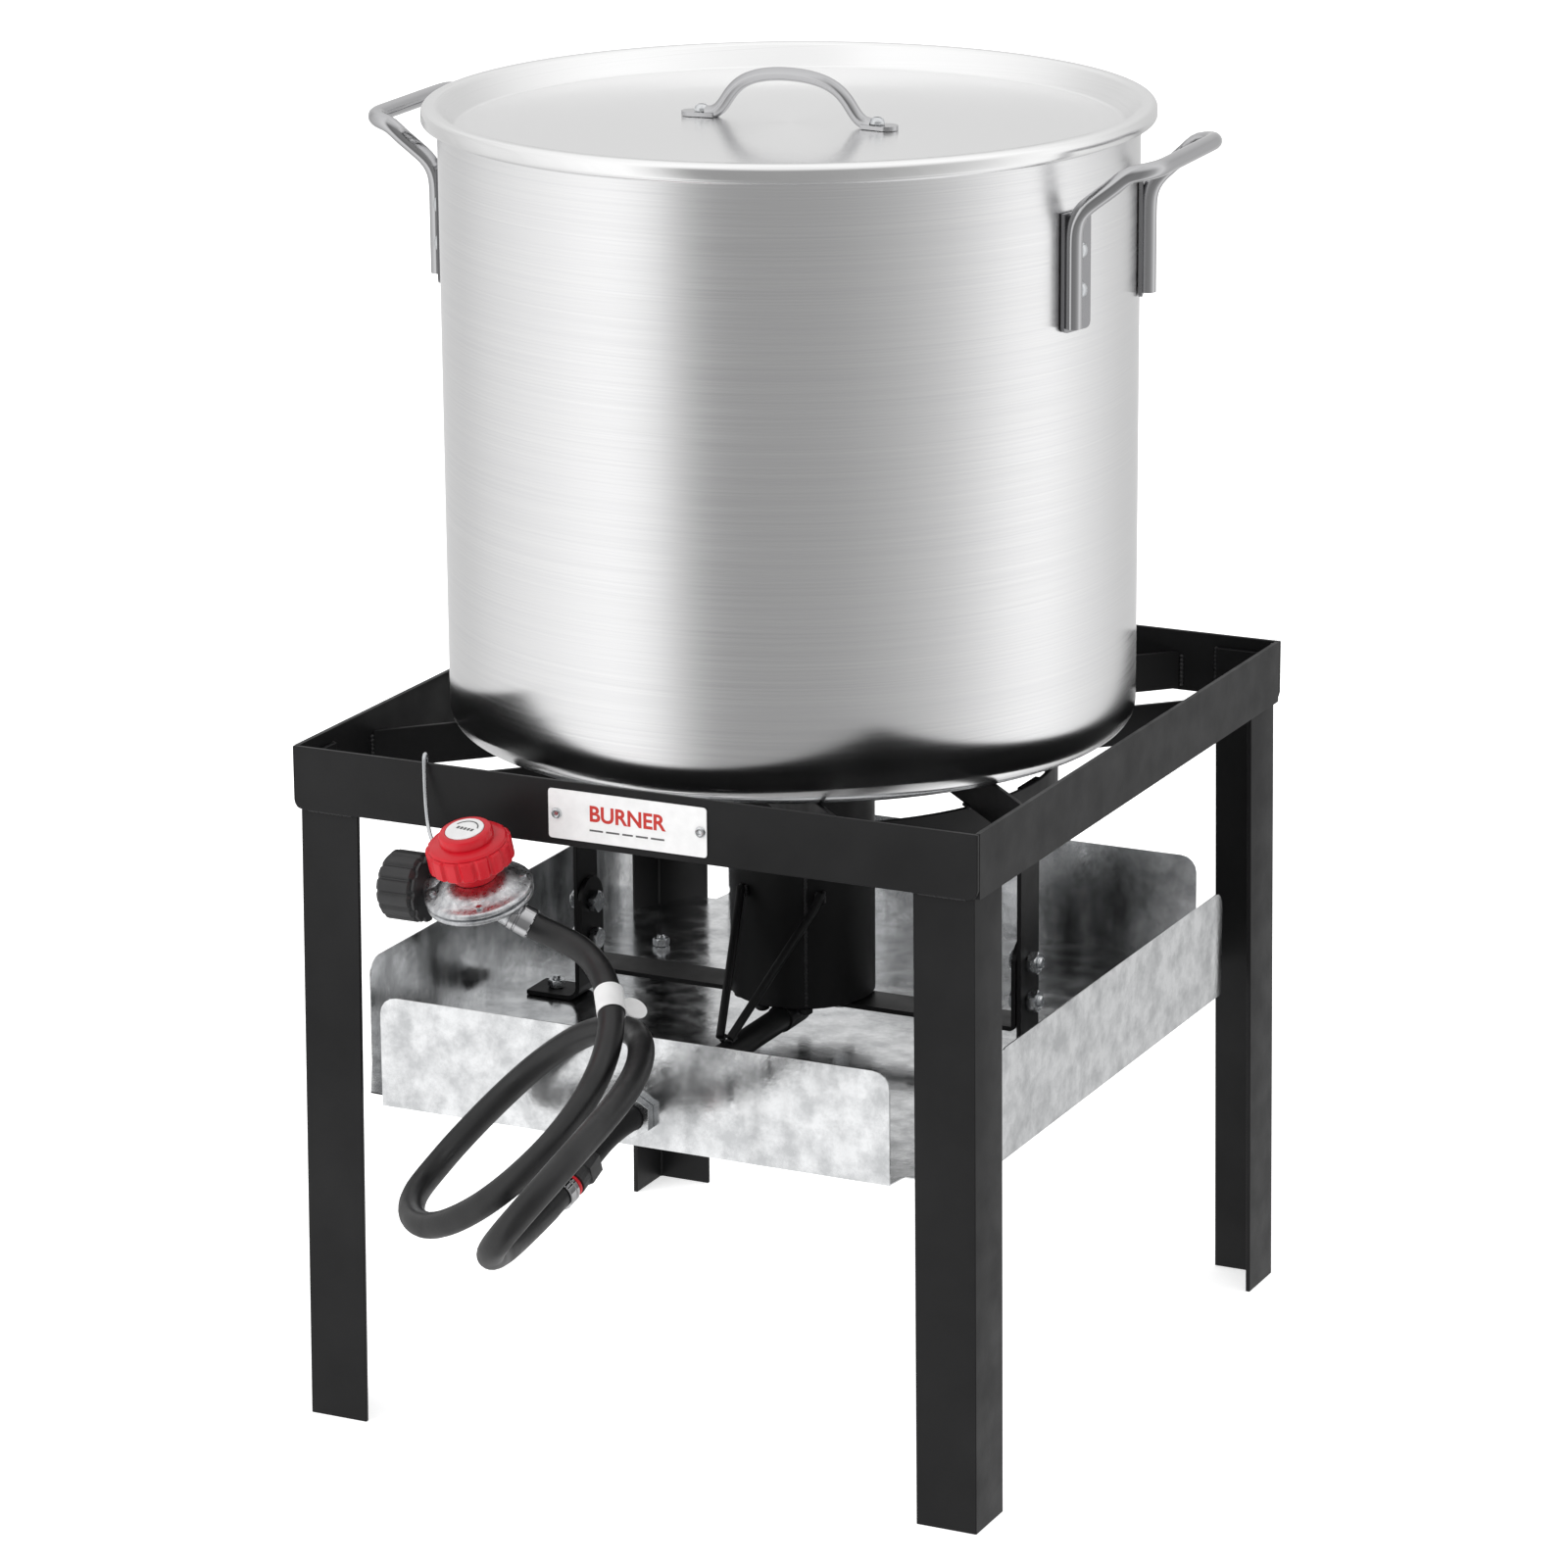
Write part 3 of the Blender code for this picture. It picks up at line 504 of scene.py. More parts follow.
def welds():
    """Beads where legs, grate bars, band and straps are welded."""
    beads = []
    x, y = RING_X - RING_T, RING_Y - RING_T
    leg_x, leg_y = x - LEG_W - 1, y - LEG_W - 1
    for sx in (-1, 1):
        for sy in (-1, 1):
            beads.append(bead((sx * leg_x, sy * y, RING_BOTTOM + 3), (sx * leg_x, sy * y, LEG_TOP)))
            beads.append(bead((sx * x, sy * leg_y, RING_BOTTOM + 3), (sx * x, sy * leg_y, LEG_TOP)))
            beads.append(bead((sx * (x - LEG_W + 3), sy * (y - 0.3), RING_BOTTOM - 0.6),
                              (sx * (x - 5), sy * (y - 0.3), RING_BOTTOM - 0.6), 1.2))
            beads.append(bead((sx * (x - 0.3), sy * (y - LEG_W + 3), RING_BOTTOM - 0.6),
                              (sx * (x - 0.3), sy * (y - 5), RING_BOTTOM - 0.6), 1.2))
            beads.append(bead((sx * (x - 1.5), sy * (y - 1.5), LEG_TOP + 0.5),
                              (sx * (x - 1.5), sy * (y - 1.5), RING_TOP - 1), 1.6))
            for px, py in ((x, x - GRATE_OFFSET), (y - GRATE_OFFSET, y)):
                for side in (-3.4, 3.4):
                    at = (sx * (px + (side if py == y else 0)), sy * (py + (side if px == x else 0)))
                    beads.append(bead((*at, GRATE_BOTTOM + 2), (*at, GRATE_TOP - 2), 1.6))
    half = math.sqrt(2 * (BAND_R - 1.5) ** 2 - GRATE_OFFSET ** 2) / 2
    for sx in (-1, 1):
        for sy in (-1, 1):
            for px in (GRATE_OFFSET / 2 + half, GRATE_OFFSET / 2 - half):
                at = Vector((sx * px, sy * (px - GRATE_OFFSET), BAND_TOP + 0.4))
                along = Vector((sx, sy, 0)).normalized()
                aside = Vector((-along.y, along.x, 0)) * 2.4
                for side in (-1, 1):
                    beads.append(bead(at + aside * side - along * 5, at + aside * side + along * 5, 1.4))
    for s in (-1, 1):
        for side in (-1, 1):
            at = (s * (STRAP_X + 3.2), side * (STRAP_HALF + 0.6))
            beads.append(bead((*at, BAND_BOTTOM + 1), (*at, BAND_TOP - 2), 1.3))
    show("weld_beads", merged(*beads), "weld", "stand")


def heat_band():
    wall = ring_wall(BAND_R, BAND_T, BAND_BOTTOM, BAND_TOP)
    show("heat_band_fine", lathe(wall, 160), "paint", "stand", ["heat_band"])


def burner():
    """Wind guard with its weld seam, pipe, stay rods and their welds."""
    wall = ring_wall(GUARD_R, GUARD_T, GUARD_BOTTOM, GUARD_TOP)
    show("wind_guard_fine", lathe(wall, 120), "paint", "stand", ["wind_guard"])
    seam = math.radians(-62)
    at = Vector((math.cos(seam), math.sin(seam), 0)) * (GUARD_R - 0.5)
    show("guard_seam", bead(at + Vector((0, 0, GUARD_BOTTOM + 1)), at + Vector((0, 0, GUARD_TOP - 1)), 1.3),
         "weld", "stand")
    lugs = []
    for angle in (-150, -105, -62, -20, 25, 70, 115, 160):
        a = math.radians(angle)
        out = Vector((math.cos(a), math.sin(a), 0)) * (GUARD_R - 6.5)
        if abs(out.y) > 16 and out.x ** 2 > 60:
            lugs.append(moved(lathe([(0, -5.6), (3, -5.6), (4.4, -4.6), (4.6, -1.4), (0, -1.4)], 24),
                              shift(out.x, out.y, GUARD_BOTTOM + 0.2)))
    show("casting_bosses", merged(*lugs), "cast", "stand")
    pipe = [(PIPE_X, y, PIPE_Z) for y in (-43.4, -120, -200, -250, -262)]
    pipe += [(PIPE_X, -275, 232), (PIPE_X, -285, 230.4), (PIPE_X, -294, 228.2)]
    pipe.append(FITTING_A + Vector((0, 1.4, 0.5)))
    show("gas_pipe_fine", wire(pipe, PIPE_R, 9), "paint", "stand", ["gas_pipe"])
    for name, foot, head in (("stay_rod_left", (0.6, -120, 244.2), (-21.6, -44.8, 315)),
                             ("stay_rod_right", (7.4, -120, 244.2), (31.4, -38.6, 315))):
        foot, head = Vector(foot), Vector(head)
        line = [foot, foot.lerp(head, 0.9), foot.lerp(head, 0.95) + Vector((0, 0, 0.8)),
                head + Vector((0, 0, 3))]
        show(name + "_fine", wire(line, 2.75, 5), "paint", "stand", [name])
        inward = Vector((-head.x, -head.y, 0)).normalized() * 2.2
        side = Vector((-inward.y, inward.x, 0)).normalized() * 2.4
        tall = Vector((0, 0, 4))
        joints = [bead(head + inward + side * s - tall, head + inward + side * s + tall, 1.4)
                  for s in (-1, 1)]
        joints.append(bead(foot + Vector((0, 1, -2.6)), foot + Vector((0, 9, -1.4)), 1.6))
        show(name + "_welds", merged(*joints), "weld", "stand")


# Fasteners ---------------------------------------------------------------------------------------------

def threaded(radius, bottom, top):
    """Turned rod with thread grooves and a chamfered end."""
    pitch, deep, z = 1.0, 0.45, bottom
    line = [(0, bottom)]
    while z + pitch < top - 0.6:
        line += [(radius - deep, z), (radius, z + pitch * 0.4), (radius, z + pitch * 0.55)]
        z += pitch
    line += [(radius - deep, z), (radius - 0.9, top), (0, top)]
    return lathe(line, 24)


def hex_nut(across, bottom, top):
    """Hexagon whose corners are turned down at both ends."""
    r = across / math.sqrt(3)
    flat = across / 2
    chamfer = 0.9
    round_end = lathe([(0, bottom), (flat, bottom), (r, bottom + chamfer), (r, top - chamfer), (flat, top),
                       (0, top)], 48)
    around = cut(prism(r * 2, bottom - 2, top + 2, 24), round_end)
    return cut(prism(r, bottom - 1, top + 1), around)


def bolt(node, origin, direction, head, nut, shank, across):
    """Detailed bolt: head, threaded end, nut."""
    pieces = [threaded(shank, head[1] - 0.2, nut[1] + 2.5), hex_nut(across, *head), hex_nut(across, *nut)]
    show(node + "_fine", moved(merged(*pieces), frame_at(origin, direction)), "zinc", "stand", [node], 28)


def fasteners():
    for label, s in (("left", -1), ("right", 1)):
        for number, z in enumerate(CARRIER_BOLT_ZS, 1):
            bolt(f"carrier_bolt_{label}_{number}", (s * STRAP_X, 0, z), (s, 0, 0),
                 (-8.6, -3.6), (3.3, 9.3), 4, 13)
        bolt(f"foot_bolt_{label}", (s * FOOT_BOLT_X, 0, TRAY_FLOOR), (0, 0, 1),
             (-5.3, -1.3), (3.6, 8.6), 3, 10)
        bolt(f"burner_bolt_{label}", (s * BURNER_BOLT_X, 0, 240), (0, 0, 1),
             (-7.5, -3.3), (10.6, 15.6), 3, 10)
    for label, s in (("left", -1), ("right", 1)):
        x, y = TRAY_BOLT_AT
        bolt(f"tray_bolt_{label}", (s * x, y, TRAY_FLOOR), (0, 0, 1), (-5.3, -1.3), (0.3, 5.3), 3, 10)


# Gas line ----------------------------------------------------------------------------------------------

def ribbed(radius, depth, ribs, bottom, top, edge):
    """Grip ring: wide raised ribs with narrow grooves between, ends chamfered."""
    bm = bmesh.new()
    per = 12
    rows = ((bottom, radius - edge), (bottom + edge, radius), (top - edge, radius), (top, radius - edge))
    loops = []
    for z, r in rows:
        loop = []
        for i in range(ribs * per):
            k = i % per
            groove = 1.0 if k in (0, 1) else (0.45 if k in (2, per - 1) else 0.0)
            a = math.tau * i / (ribs * per)
            at = r - depth * groove
            loop.append(bm.verts.new((at * math.cos(a), at * math.sin(a), z)))
        loops.append(loop)
    for low, high in zip(loops, loops[1:]):
        for i in range(len(low)):
            j = (i + 1) % len(low)
            bm.faces.new((low[i], low[j], high[j], high[i]))
    bm.faces.new(loops[0][::-1])
    bm.faces.new(loops[-1])
    return from_bmesh(bm)


def rolled(radius, z, r, steps=6):
    """Outline of a rolled rim, seen as a half round."""
    return [(radius - r + r * math.cos(a), z + r * math.sin(a))
            for a in (math.pi / 2 - math.pi * i / steps for i in range(steps + 1))]


def regulator():
    """Two-shell body, knob, disc, hand nut and outlet ferrule."""
    at = frame_at(REG_C, REG_N)
    upper = [(0, 12), (15, 12), (20, 11), (24, 8.2), (27, 5.6), (29, 5.0), *rolled(33, 2.4, 2.0), (30, 0.4)]
    lower = [(30, 0), *rolled(32.6, -2.0, 1.6), (29, -4.6), (24, -5.0), (20, -6.2), (16.5, -10), (12, -14.6),
             (0, -15)]
    body = moved(lathe([*upper, *lower], 96), at)
    out = (FERRULE_B - FERRULE_A).normalized()
    boss = moved(lathe([(0, -20), (7.4, -20), (8.4, -6), (8.4, -GAP), (0, -GAP)], 40),
                 frame_at(FERRULE_A, out))
    stem = moved(lathe([(0, 12), (7.5, 12), (7.5, 55), (6.8, 57), (0, 57)], 40),
                 frame_at(REG_C + Vector((0, 0, -1.5)), (-1, 0, 0)))
    web = moved(slab([(0, 0), (20, 2), (23, 9), (0, 12)], 4),
                frame_at(FERRULE_A - out * 20 + Vector((0, 0, -5)), (0.2, -1, 0)))
    eye = moved(lathe([(1.9, -1.2), (4.2, -1.2), (4.2, 1.2), (1.9, 1.2)], 32), frame_at(HOOK_EYE, (1, 0, 0)))
    lug = moved(prism(3.2, -9.5, -2.6, 4), frame_at(HOOK_EYE, (0, 0, 1)))
    show("regulator_body_fine", merged(body, boss, stem, web, eye, lug), "die_cast", "stand",
         ["regulator_body"], 35)
    screws = []
    for angle in (40, 130, 220, 310):
        a = math.radians(angle)
        screws.append(moved(prism(2.2, 5.2, 7.0, 6), at @ shift(27.6 * math.cos(a), 27.6 * math.sin(a), 0)))
    show("regulator_screws", merged(*screws), "zinc", "stand", smooth=20, bevel=0.3)
    neck = lathe([(0, 12.4), (13.6, 12.4), (13.6, 20), (15, 22.5), (0, 22.5)], 96)
    grip = ribbed(26, 1.5, 16, 22, 35.5, 1.2)
    cap = lathe([(0, 34), (16.4, 34), (16.8, 35.4), (16.4, 42.6), (15.7, 44.0), (14.4, 44.7), (12.2, 44.7),
                 (11.9, 44.1), (0, 44.1)], 96)
    collar = lathe([(0, 35.2), (23.4, 35.2), (24, 35.8), (23, 37.2), (18.4, 38.6), (0, 38.6)], 96)
    show("knob_fine", moved(merged(neck, grip, collar, cap), at), "red", "knob", ["regulator_knob"], 35, 0)
    disc = lathe([(0, 44.3), (11.6, 44.3), (11.8, 44.8), (11.5, 45.2), (0, 45.2)], 64)
    show("knob_disc_fine", moved(disc, at), "label", "knob", ["knob_disc"])
    marks = []
    for i in range(5):
        low, high = -5.5 + i * 2.6, -3.9 + i * 2.6
        marks.append(slab([(low, -1.2), (high, -1.2), (high, 1.2), (low, 1.2)], 0.2))
    marks.append(slab(arc(0, 0, 8.6, 20, 160, 16) + arc(0, 0, 7.8, 160, 20, 16), 0.2))
    show("knob_marks", moved(merged(*marks), at @ shift(0, 0, 45.3)), "grey_ink", "knob", smooth=0)
    nut_at = Vector((-130, REG_C.y, REG_C.z - 1.5))
    barrel = ribbed(21, 1.3, 14, -13, 15 - 3.5, 2.6)
    barrel = cut(barrel, lathe([(0, -20), (7.9, -20), (7.9, 20), (0, 20)], 40))
    barrel = cut(barrel, lathe([(7, -20), (17.5, -20), (17.5, -11), (7, -11)], 64))
    spokes = [moved(slab([(8.5, -1.2), (18, -1.8), (18, 1.8), (8.5, 1.2)], 4),
                    Matrix.Rotation(math.tau * i / 10, 4, "Z") @ shift(0, 0, -12.4)) for i in range(10)]
    lobes = [(r * math.cos(math.tau * i / 60), r * math.sin(math.tau * i / 60))
             for i in range(60) for r in [18.2 if i % 6 in (0, 1) else 20.4]]
    star = moved(slab(lobes, 1.6), shift(0, 0, -13.9))
    nut = moved(merged(barrel, star, *spokes), frame_at(nut_at, (-1, 0, 0)))
    show("hand_nut_fine", nut, "plastic", "hand_nut", ["hand_nut"], 30)
    length = (FERRULE_B - FERRULE_A).length
    crimp = [(0, 0), (8.9, 0), (9.5, 0.6), (9.5, 3.4), (9.0, 3.9), (9.0, 4.6), (9.5, 5.1),
             (9.5, length - 0.6), (9.1, length), (0, length)]
    show("outlet_ferrule_fine", moved(lathe(crimp, 64), frame_at(FERRULE_A, out)), "polished", "stand",
         ["outlet_ferrule"])


def hook():
    inside, front, eye = -RING_Y + RING_T + 2.2, -RING_Y - 2.2, HOOK_EYE
    line = [(-138, inside, 424), (-138, inside, 431), (-138, inside, 437), (-137, inside - 2, 441.5),
            (-136, front + 1, 441.5), (-135.4, front, 437), (-131.8, -248.5, 413), (-125.5, -255.5, 393.5),
            (-116, -261, 390), (-112.9, eye.y + 2, 387.5), (-112.6, eye.y, 384), (-111.4, eye.y, eye.z),
            (-109, eye.y, eye.z),
            (-106.8, eye.y, eye.z)]
    show("wire_hook_fine", wire(smooth_line(line, 2), 1.2, 4), "zinc", "stand", ["wire_hook"], 60)


def fittings():
    """Seal ring and crimped ferrule at the burner end."""
    at = frame_at(FITTING_A, FITTING_B - FITTING_A)
    span = (FITTING_B - FITTING_A).length
    ring = [(7.4 + 1.4 * math.cos(a), span - 1.6 + 1.3 * math.sin(a))
            for a in np.linspace(0, math.tau, 16, False)]
    show("seal_ring_fine", moved(lathe(ring, 48), at), "red", "stand", ["seal_ring"])
    out = FITTING_C - FITTING_B
    end = out.length
    crimp = [(0, 1.6), (8.6, 1.6), (9.3, 2.2), (9.3, 4.6), (8.7, 5.2), (8.7, 6), (9.3, 6.6),
             (9.3, end - 0.5), (8.8, end), (0, end)]
    show("inlet_ferrule_fine", moved(lathe(crimp, 64), frame_at(FITTING_B, out)), "polished", "stand",
         ["inlet_ferrule"])


def hose():
    """The gas hose as one smooth tube along the CAD route, and the paper tag round it."""
    line = smooth_line(HOSE_ROUTE, 5)
    start, end = (FERRULE_B - FERRULE_A).normalized(), (FITTING_C - FITTING_B).normalized()
    keep = line[3:-3]
    line = [FERRULE_B + start * GAP, FERRULE_B + start * 6, *[Vector(p) for p in keep],
            FITTING_C + end * 8, FITTING_C + end * GAP]
    curve = wire_curve([p * MM for p in line], HOSE_R * MM, 9)
    tube = bpy.data.objects.new("gas_hose_fine", curve)
    SCENE.collection.objects.link(tube)
    curve.materials.append(LOOKS["rubber"])
    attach(tube, "stand")
    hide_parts("gas_hose")
    tag_at, tag_way = line[16], line[17] - line[15]
    at = frame_at(tag_at, tag_way)
    band = lathe([(8.35, -9), (8.8, -9), (8.8, 9), (8.35, 9)], 64)
    lobe = arc(15.5, 0, 8, -140, 140, 18) + [(8.6, 5.4), (8.6, -5.4)]
    upright = Matrix.Rotation(math.radians(-20), 4, "Z") @ Matrix.Rotation(math.pi / 2, 4, "X")
    flag = moved(slab(lobe, 0.7), upright)
    tag = show("hose_tag_fine", moved(merged(band, flag), at), "label", "stand", ["hose_tag"])
    mark = moved(slab([(12, -3), (19, -1), (16, 1), (20, 3.4), (13, 3)], 0.3), upright @ shift(0, 0, 0.5))
    inked = show("tag_mark", moved(mark, at), "grey_ink", "stand", smooth=0)


# Nameplate ---------------------------------------------------------------------------------------------

def nameplate():
    """Generic print on the plate, and pop rivets."""
    front = -RING_Y - 1.15
    flat = shift(0, front, 0) @ UPRIGHT_XZ
    text = bpy.data.curves.new("plate_word", "FONT")
    text.body, text.size, text.extrude, text.align_x, text.align_y = "BURNER", 13.5, 0.05, "CENTER", "CENTER"
    text.offset = 0.35
    word = evaluated(text)
    show("plate_word", moved(word, flat @ shift(1, 418, 0)), "red_ink", "stand", smooth=0)
    dashes = [slab([(x, 0), (x + w, 0), (x + w, 1.1), (x, 1.1)], 0.1)
              for x, w in ((-25, 9), (-14, 9), (-3, 7), (6, 8), (16, 9))]
    show("plate_dashes", moved(merged(*dashes), flat @ shift(1, 407.6, 0)), "grey_ink", "stand", smooth=0)
    for name, x in (("plate_rivet_left", -46.0), ("plate_rivet_right", 50.0)):
        head = [(0, 1.9), (1.2, 1.9), (1.5, 2.6), (2.2, 2.9), (3.0, 2.4), (3.4, 1.4), (3.4, 1.1), (1.9, 1.1),
                (1.9, -3.4), (0, -3.4)]
        rivet = moved(lathe(head, 40), frame_at((x, -RING_Y, 416.2), (0, -1, 0)))
        show(name + "_fine", rivet, "zinc", "stand", [name])


# Stockpot ----------------------------------------------------------------------------------------------

def pot():
    r, t, z0, z1 = POT_R, POT_T, POT_BOTTOM, POT_TOP
    outer = arc(r - 12, z0 + 12, 12, 0, -90, 14)
    inner = arc(r - 12, z0 + 12, 12 - t, -90, 0, 14)
    bead_out = arc(r - 0.4, z1 - 3, 3, 90, -80, 8)
    spin = [(r, z1 - 12), (r, z0 + 60)]
    profile = [(0, z0 + t), (100, z0 + t), *inner, (r - t, z1 - 2), (r - t + 0.6, z1), *bead_out, *spin,
               *outer, (100, z0), (0, z0)]
    show("stockpot_fine", moved(lathe(profile, 192), POT_AT), "pot", "pot", ["stockpot"], 40)


def pot_handles():
    """Side handles: a bent half-round bar with channel feet, straps and domed rivets."""
    spread, reach, z = math.radians(15.5), 264.0, 793.0
    face = POT_R + 0.5
    for name, base in (("pot_handle_right", HANDLE_TURN), ("pot_handle_left", HANDLE_TURN + math.pi)):
        turn_all = POT_AT @ Matrix.Rotation(base, 4, "Z")
        steel, rivets, feet = [], [], []
        for s in (-1, 1):
            a = s * spread
            out = Vector((math.cos(a), math.sin(a), 0))
            side = Vector((math.sin(a), -math.cos(a), 0))
            turn = Matrix(((out.x, -side.x, 0, face), (out.y, -side.y, 0, 0), (0, 0, 1, 0), (0, 0, 0, 1)))
            turn.translation = out * face
            outline = [*arc(9.5, 698, 4, -90, 0, 5), (13.5, 766), (-13.5, 766),
                       *arc(-9.5, 698, 4, 180, 270, 5)]
            strap = slab([(y, h) for y, h in outline], 2.4)
            strap = moved(strap, turn @ shift(1.25, 0, 0) @ Matrix(((0, 0, 1, 0), (1, 0, 0, 0), (0, 1, 0, 0),
                                                                   (0, 0, 0, 1))))
            steel.append(strap)
            for rz in (742, 718):
                dome = lathe([(0, 6.2), (2.4, 5.9), (4.2, 4.8), (5.2, 3.0), (5.4, 2.5), (0, 2.5)], 32)
                rivets.append(moved(dome, turn @ frame_at((0, 3, rz), (1, 0, 0))))
            base_at = out * (face + 5.5) + side * 8
            feet.append([base_at + Vector((0, 0, h)) for h in (697, 708, 720, 732, 744, 754)])
            feet[-1] += [base_at + out * 1.5 + Vector((0, 0, 762)), base_at + out * 6 + Vector((0, 0, 769))]
        corners = [Vector((reach - 22, s * 61, z - 4)) for s in (-1, 1)]
        bend = [[Vector((reach - 22 + 16 * math.sin(q), s * (45 + 16 * math.cos(q)), z - 3 + 3 * math.sin(q)))
                 for q in (0.0, 0.4, 0.8, 1.2, 1.57)] for s in (-1, 1)]
        mids = [[feet[i][-1].lerp(corners[i], k) for k in (0.25, 0.5, 0.75)] for i in (0, 1)]
        across = [bend[0][-1].lerp(bend[1][-1], k) for k in (0.2, 0.4, 0.6, 0.8)]
        line = [*feet[0], *mids[0], *bend[0], *across, *bend[1][::-1], *mids[1][::-1], *feet[1][::-1]]
        bar = wire(smooth_line(line, 3.5), 5.2, 6)
        show(name + "_fine", moved(bar, turn_all), "polished", "pot", [name], 50)
        show(name + "_straps", moved(merged(*steel), turn_all), "tab", "pot", smooth=40, bevel=0.5)
        show(name + "_rivets", moved(merged(*rivets), turn_all), "zinc", "pot", smooth=45)


def lid():
    z, top, t, r = LID_PLATE, LID_TOP, 1.5, LID_R
    profile = [(0, z), (60, z), (150, z), *arc(203, z + 3, 3, -90, -35, 4), (214.2, top - 2),
               (215.6, top - 0.5), (217, top), (220.5, top), *arc(220.5, top - 4.4, 4.4, 80, 5, 6),
               (r, top - 8.4), (r - 0.6, top - 9.6),
               (r - 1.6, top - 9.9), (r - 2.4, top - 8.9), (r - 2.4, top - 4.4), (220.6, top - t - 0.3),
               (217, top - t - 0.5), (206.4, z - t), (150, z - t), (0, z - t)]
    show("lid_fine", moved(lathe(profile, 192), POT_AT), "lid", "lid", ["lid"], 32)
    half = [(56, z + 2.6), (52, z + 2.9), (47.5, z + 5), (43.5, z + 10), (39, z + 17), (32, z + 23.5),
            (22, z + 27.6), (11, z + 29.4), (3, z + 29.8)]
    line = [(-x, 0, h) for x, h in half] + [(x, 0, h) for x, h in half[::-1]]
    grip = wire(smooth_line(line, 2.5), 4.2, 7)
    pads = []
    for s in (-1, 1):
        outline = [*arc(0, 0, 7, -90, 90, 10), (-16, 5), (-16, -5)]
        pad = moved(slab([(s * (x + 66), y) for x, y in outline], 2.6), shift(0, 0, z + 1.7))
        pads.append(cut(pad, moved(prism(2.3, -4, 8, 20), shift(s * LID_SCREW_X, 0, z))))
    show("lid_handle_fine", moved(merged(grip, *pads), POT_AT), "polished", "lid", ["lid_handle"], 40)
    for name, s in (("lid_screw_left", -1), ("lid_screw_right", 1)):
        head = lathe([(0, 7.6), (2.2, 7.4), (4.0, 6.4), (4.8, 4.6), (4.8, 3.6), (2, 3.6), (2, -5.5),
                      (0, -5.5)], 32)
        head = cut(head, moved(prism(1.0, 6.6, 9, 4), Matrix.Scale(4.2, 4, (1, 0, 0))))
        show(name + "_fine", moved(head, POT_AT @ shift(s * LID_SCREW_X, 0, z)), "zinc", "lid", [name], 40)


# Studio ------------------------------------------------------------------------------------------------

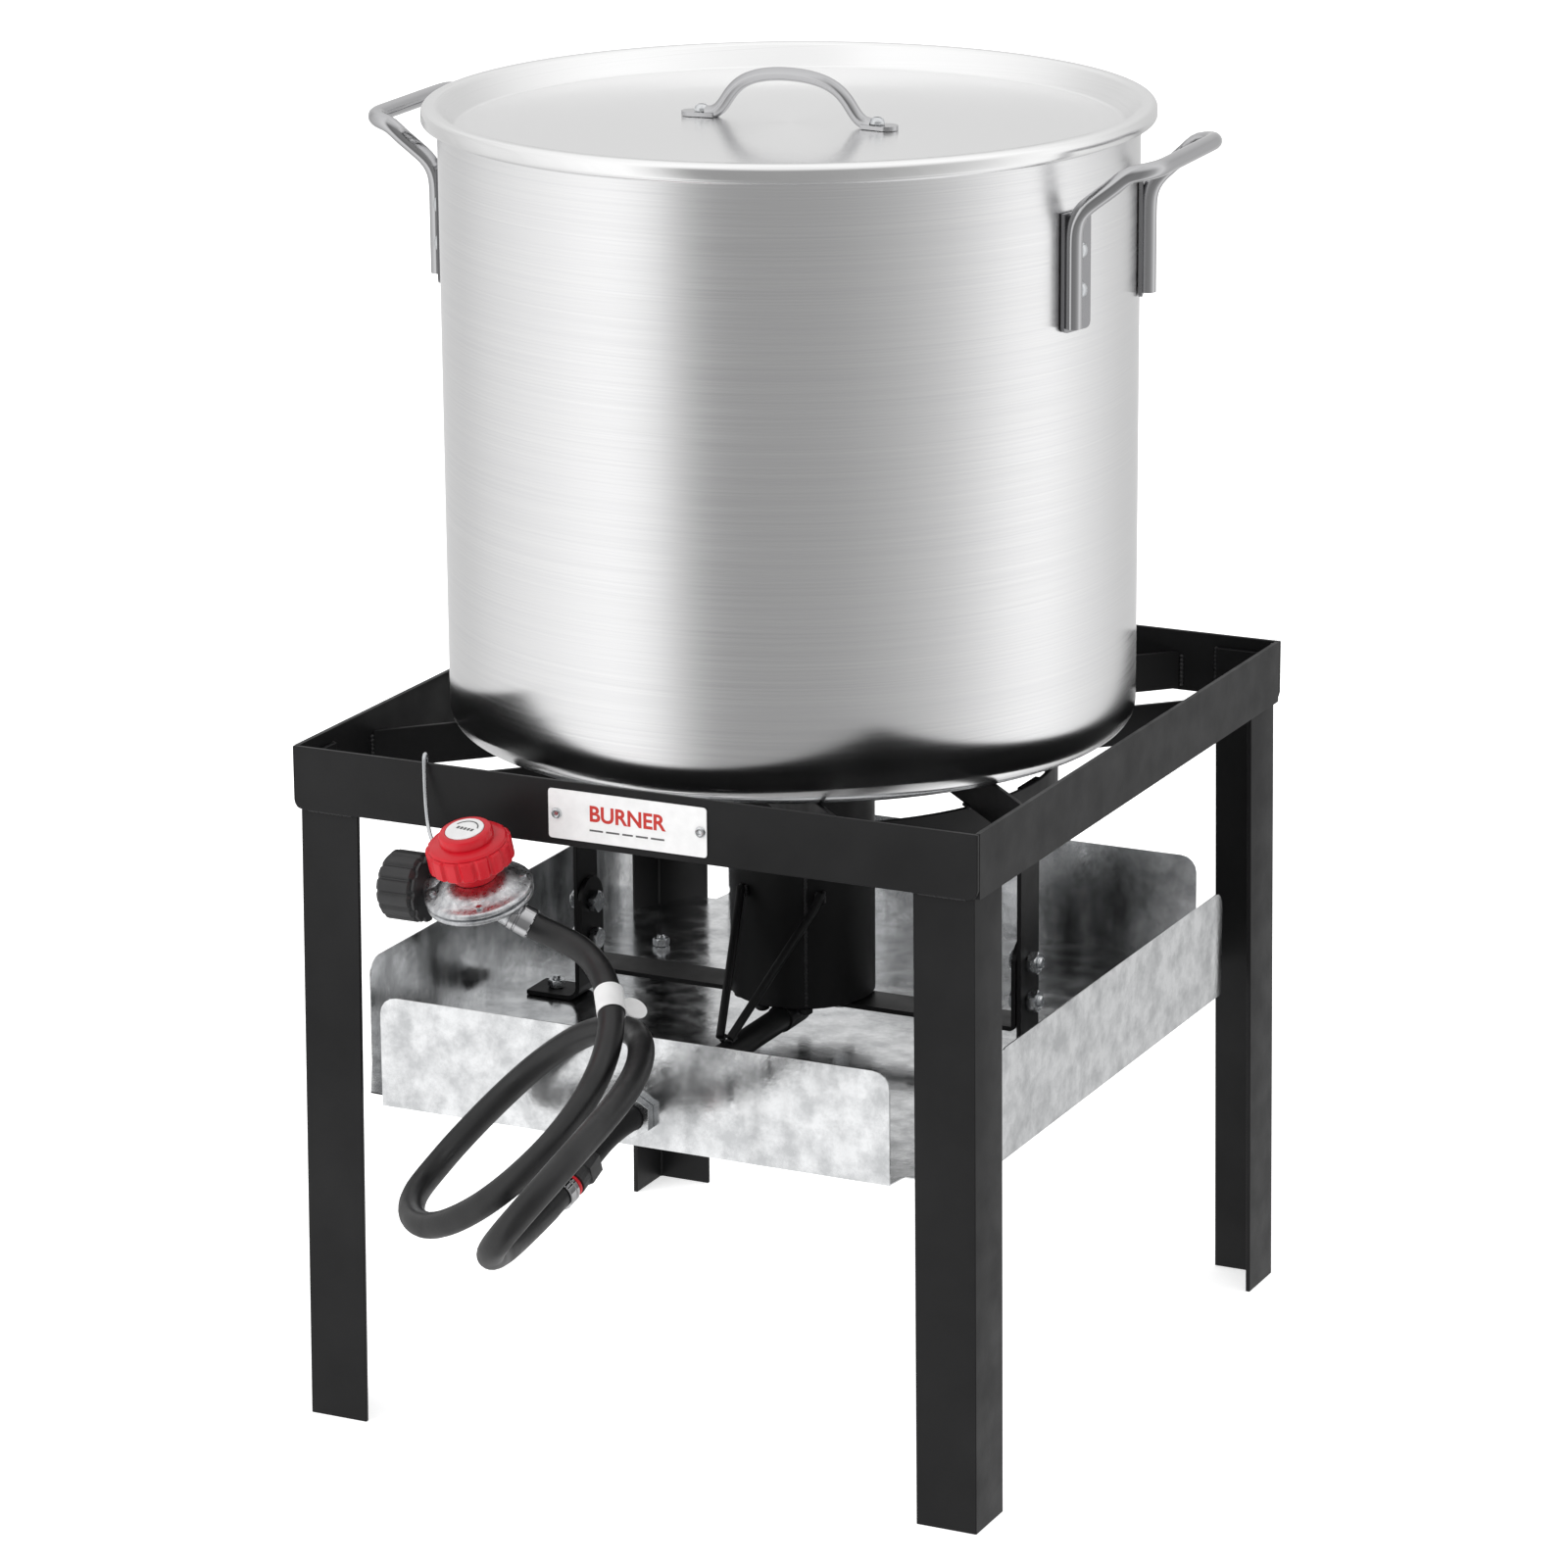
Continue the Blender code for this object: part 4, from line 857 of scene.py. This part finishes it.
def studio():
    """Pale floor, soft surrounding light with broad bands, a key light and the camera."""
    bm = bmesh.new()
    bmesh.ops.create_grid(bm, x_segments=1, y_segments=1, size=12)
    mesh = bpy.data.meshes.new("floor")
    bm.to_mesh(mesh)
    bm.free()
    floor = bpy.data.objects.new("floor", mesh)
    SCENE.collection.objects.link(floor)
    white = Look("floor_white", (0.92, 0.92, 0.92), 0.0, 0.9)
    white.shader.inputs["Emission Color"].default_value = (1, 1, 1, 1)
    white.shader.inputs["Emission Strength"].default_value = 0.62
    mesh.materials.append(white.mat)
    floor.visible_glossy = False

    world = bpy.data.worlds.new("studio")
    SCENE.world = world
    world.use_nodes = True
    nodes, links = world.node_tree.nodes, world.node_tree.links
    back = nodes["Background"]
    coords = nodes.new("ShaderNodeTexCoord")
    split = nodes.new("ShaderNodeSeparateXYZ")
    links.new(coords.outputs["Generated"], split.inputs["Vector"])
    angle = nodes.new("ShaderNodeMath")
    angle.operation = "ARCTAN2"
    links.new(split.outputs["Y"], angle.inputs[0])
    links.new(split.outputs["X"], angle.inputs[1])
    turn = nodes.new("ShaderNodeMapRange")
    for key, value in (("From Min", -math.pi), ("From Max", math.pi), ("To Min", 0), ("To Max", 1)):
        turn.inputs[key].default_value = value
    links.new(angle.outputs["Value"], turn.inputs["Value"])
    bands = nodes.new("ShaderNodeValToRGB")
    ramp = bands.color_ramp
    stops = ((-180, 0.76), (-150, 0.92), (-124, 1.12), (-112, 1.12), (-104, 0.8), (-95, 0.26), (-70, 0.33),
             (-50, 0.34), (-34, 0.42), (-20, 0.52), (-5, 0.68), (10, 0.97), (27, 1.10), (48, 0.80), (76, 0.62),
             (108, 0.72), (139, 0.74), (162, 0.60), (180, 0.76))
    while len(ramp.elements) < len(stops):
        ramp.elements.new(0.5)
    for element, (degrees, level) in zip(ramp.elements, stops):
        element.position = (degrees + 180) / 360
        element.color = (level, level, level, 1)
    links.new(turn.outputs["Result"], bands.inputs["Fac"])
    high = nodes.new("ShaderNodeMapRange")
    for key, value in (("From Min", 0.3), ("From Max", 0.8), ("To Min", 0), ("To Max", 0.8)):
        high.inputs[key].default_value = value
    links.new(split.outputs["Z"], high.inputs["Value"])
    mix = nodes.new("ShaderNodeMix")
    mix.data_type = "RGBA"
    mix.inputs["B"].default_value = (1.08, 1.08, 1.08, 1)
    links.new(high.outputs["Result"], mix.inputs["Factor"])
    links.new(bands.outputs["Color"], mix.inputs["A"])
    links.new(mix.outputs["Result"], back.inputs["Color"])

    for name, at, size, power in (("key", (-1.8, -2.4, 2.6), 2.4, 36), ("rim", (2.4, 1.6, 2.6), 2.0, 2)):
        light = bpy.data.lights.new(name, "AREA")
        light.size, light.energy = size, power
        obj = bpy.data.objects.new(name, light)
        obj.location = at
        obj.visible_glossy = False
        obj.rotation_euler = (Vector((0, 0, 0.4)) - Vector(at)).to_track_quat("-Z", "Y").to_euler()
        SCENE.collection.objects.link(obj)

    camera = bpy.data.cameras.new("camera")
    camera.lens, camera.sensor_width, camera.clip_end = LENS, 36, 50
    obj = bpy.data.objects.new("camera", camera)
    turn_z, tilt, roll = (math.radians(v) for v in (CAMERA_TURN, CAMERA_TILT, CAMERA_ROLL))
    pose = Matrix.Rotation(turn_z, 4, "Z") @ Matrix.Rotation(math.pi / 2 - tilt, 4, "X")
    pose = pose @ Matrix.Rotation(roll, 4, "Z")
    obj.matrix_world = Matrix.Translation(CAMERA_AT) @ pose
    SCENE.collection.objects.link(obj)
    SCENE.camera = obj
    SCENE.view_settings.view_transform = "Standard"


keep_cad()
welds()
heat_band()
burner()
fasteners()
regulator()
hook()
fittings()
hose()
nameplate()
pot()
pot_handles()
lid()
studio()
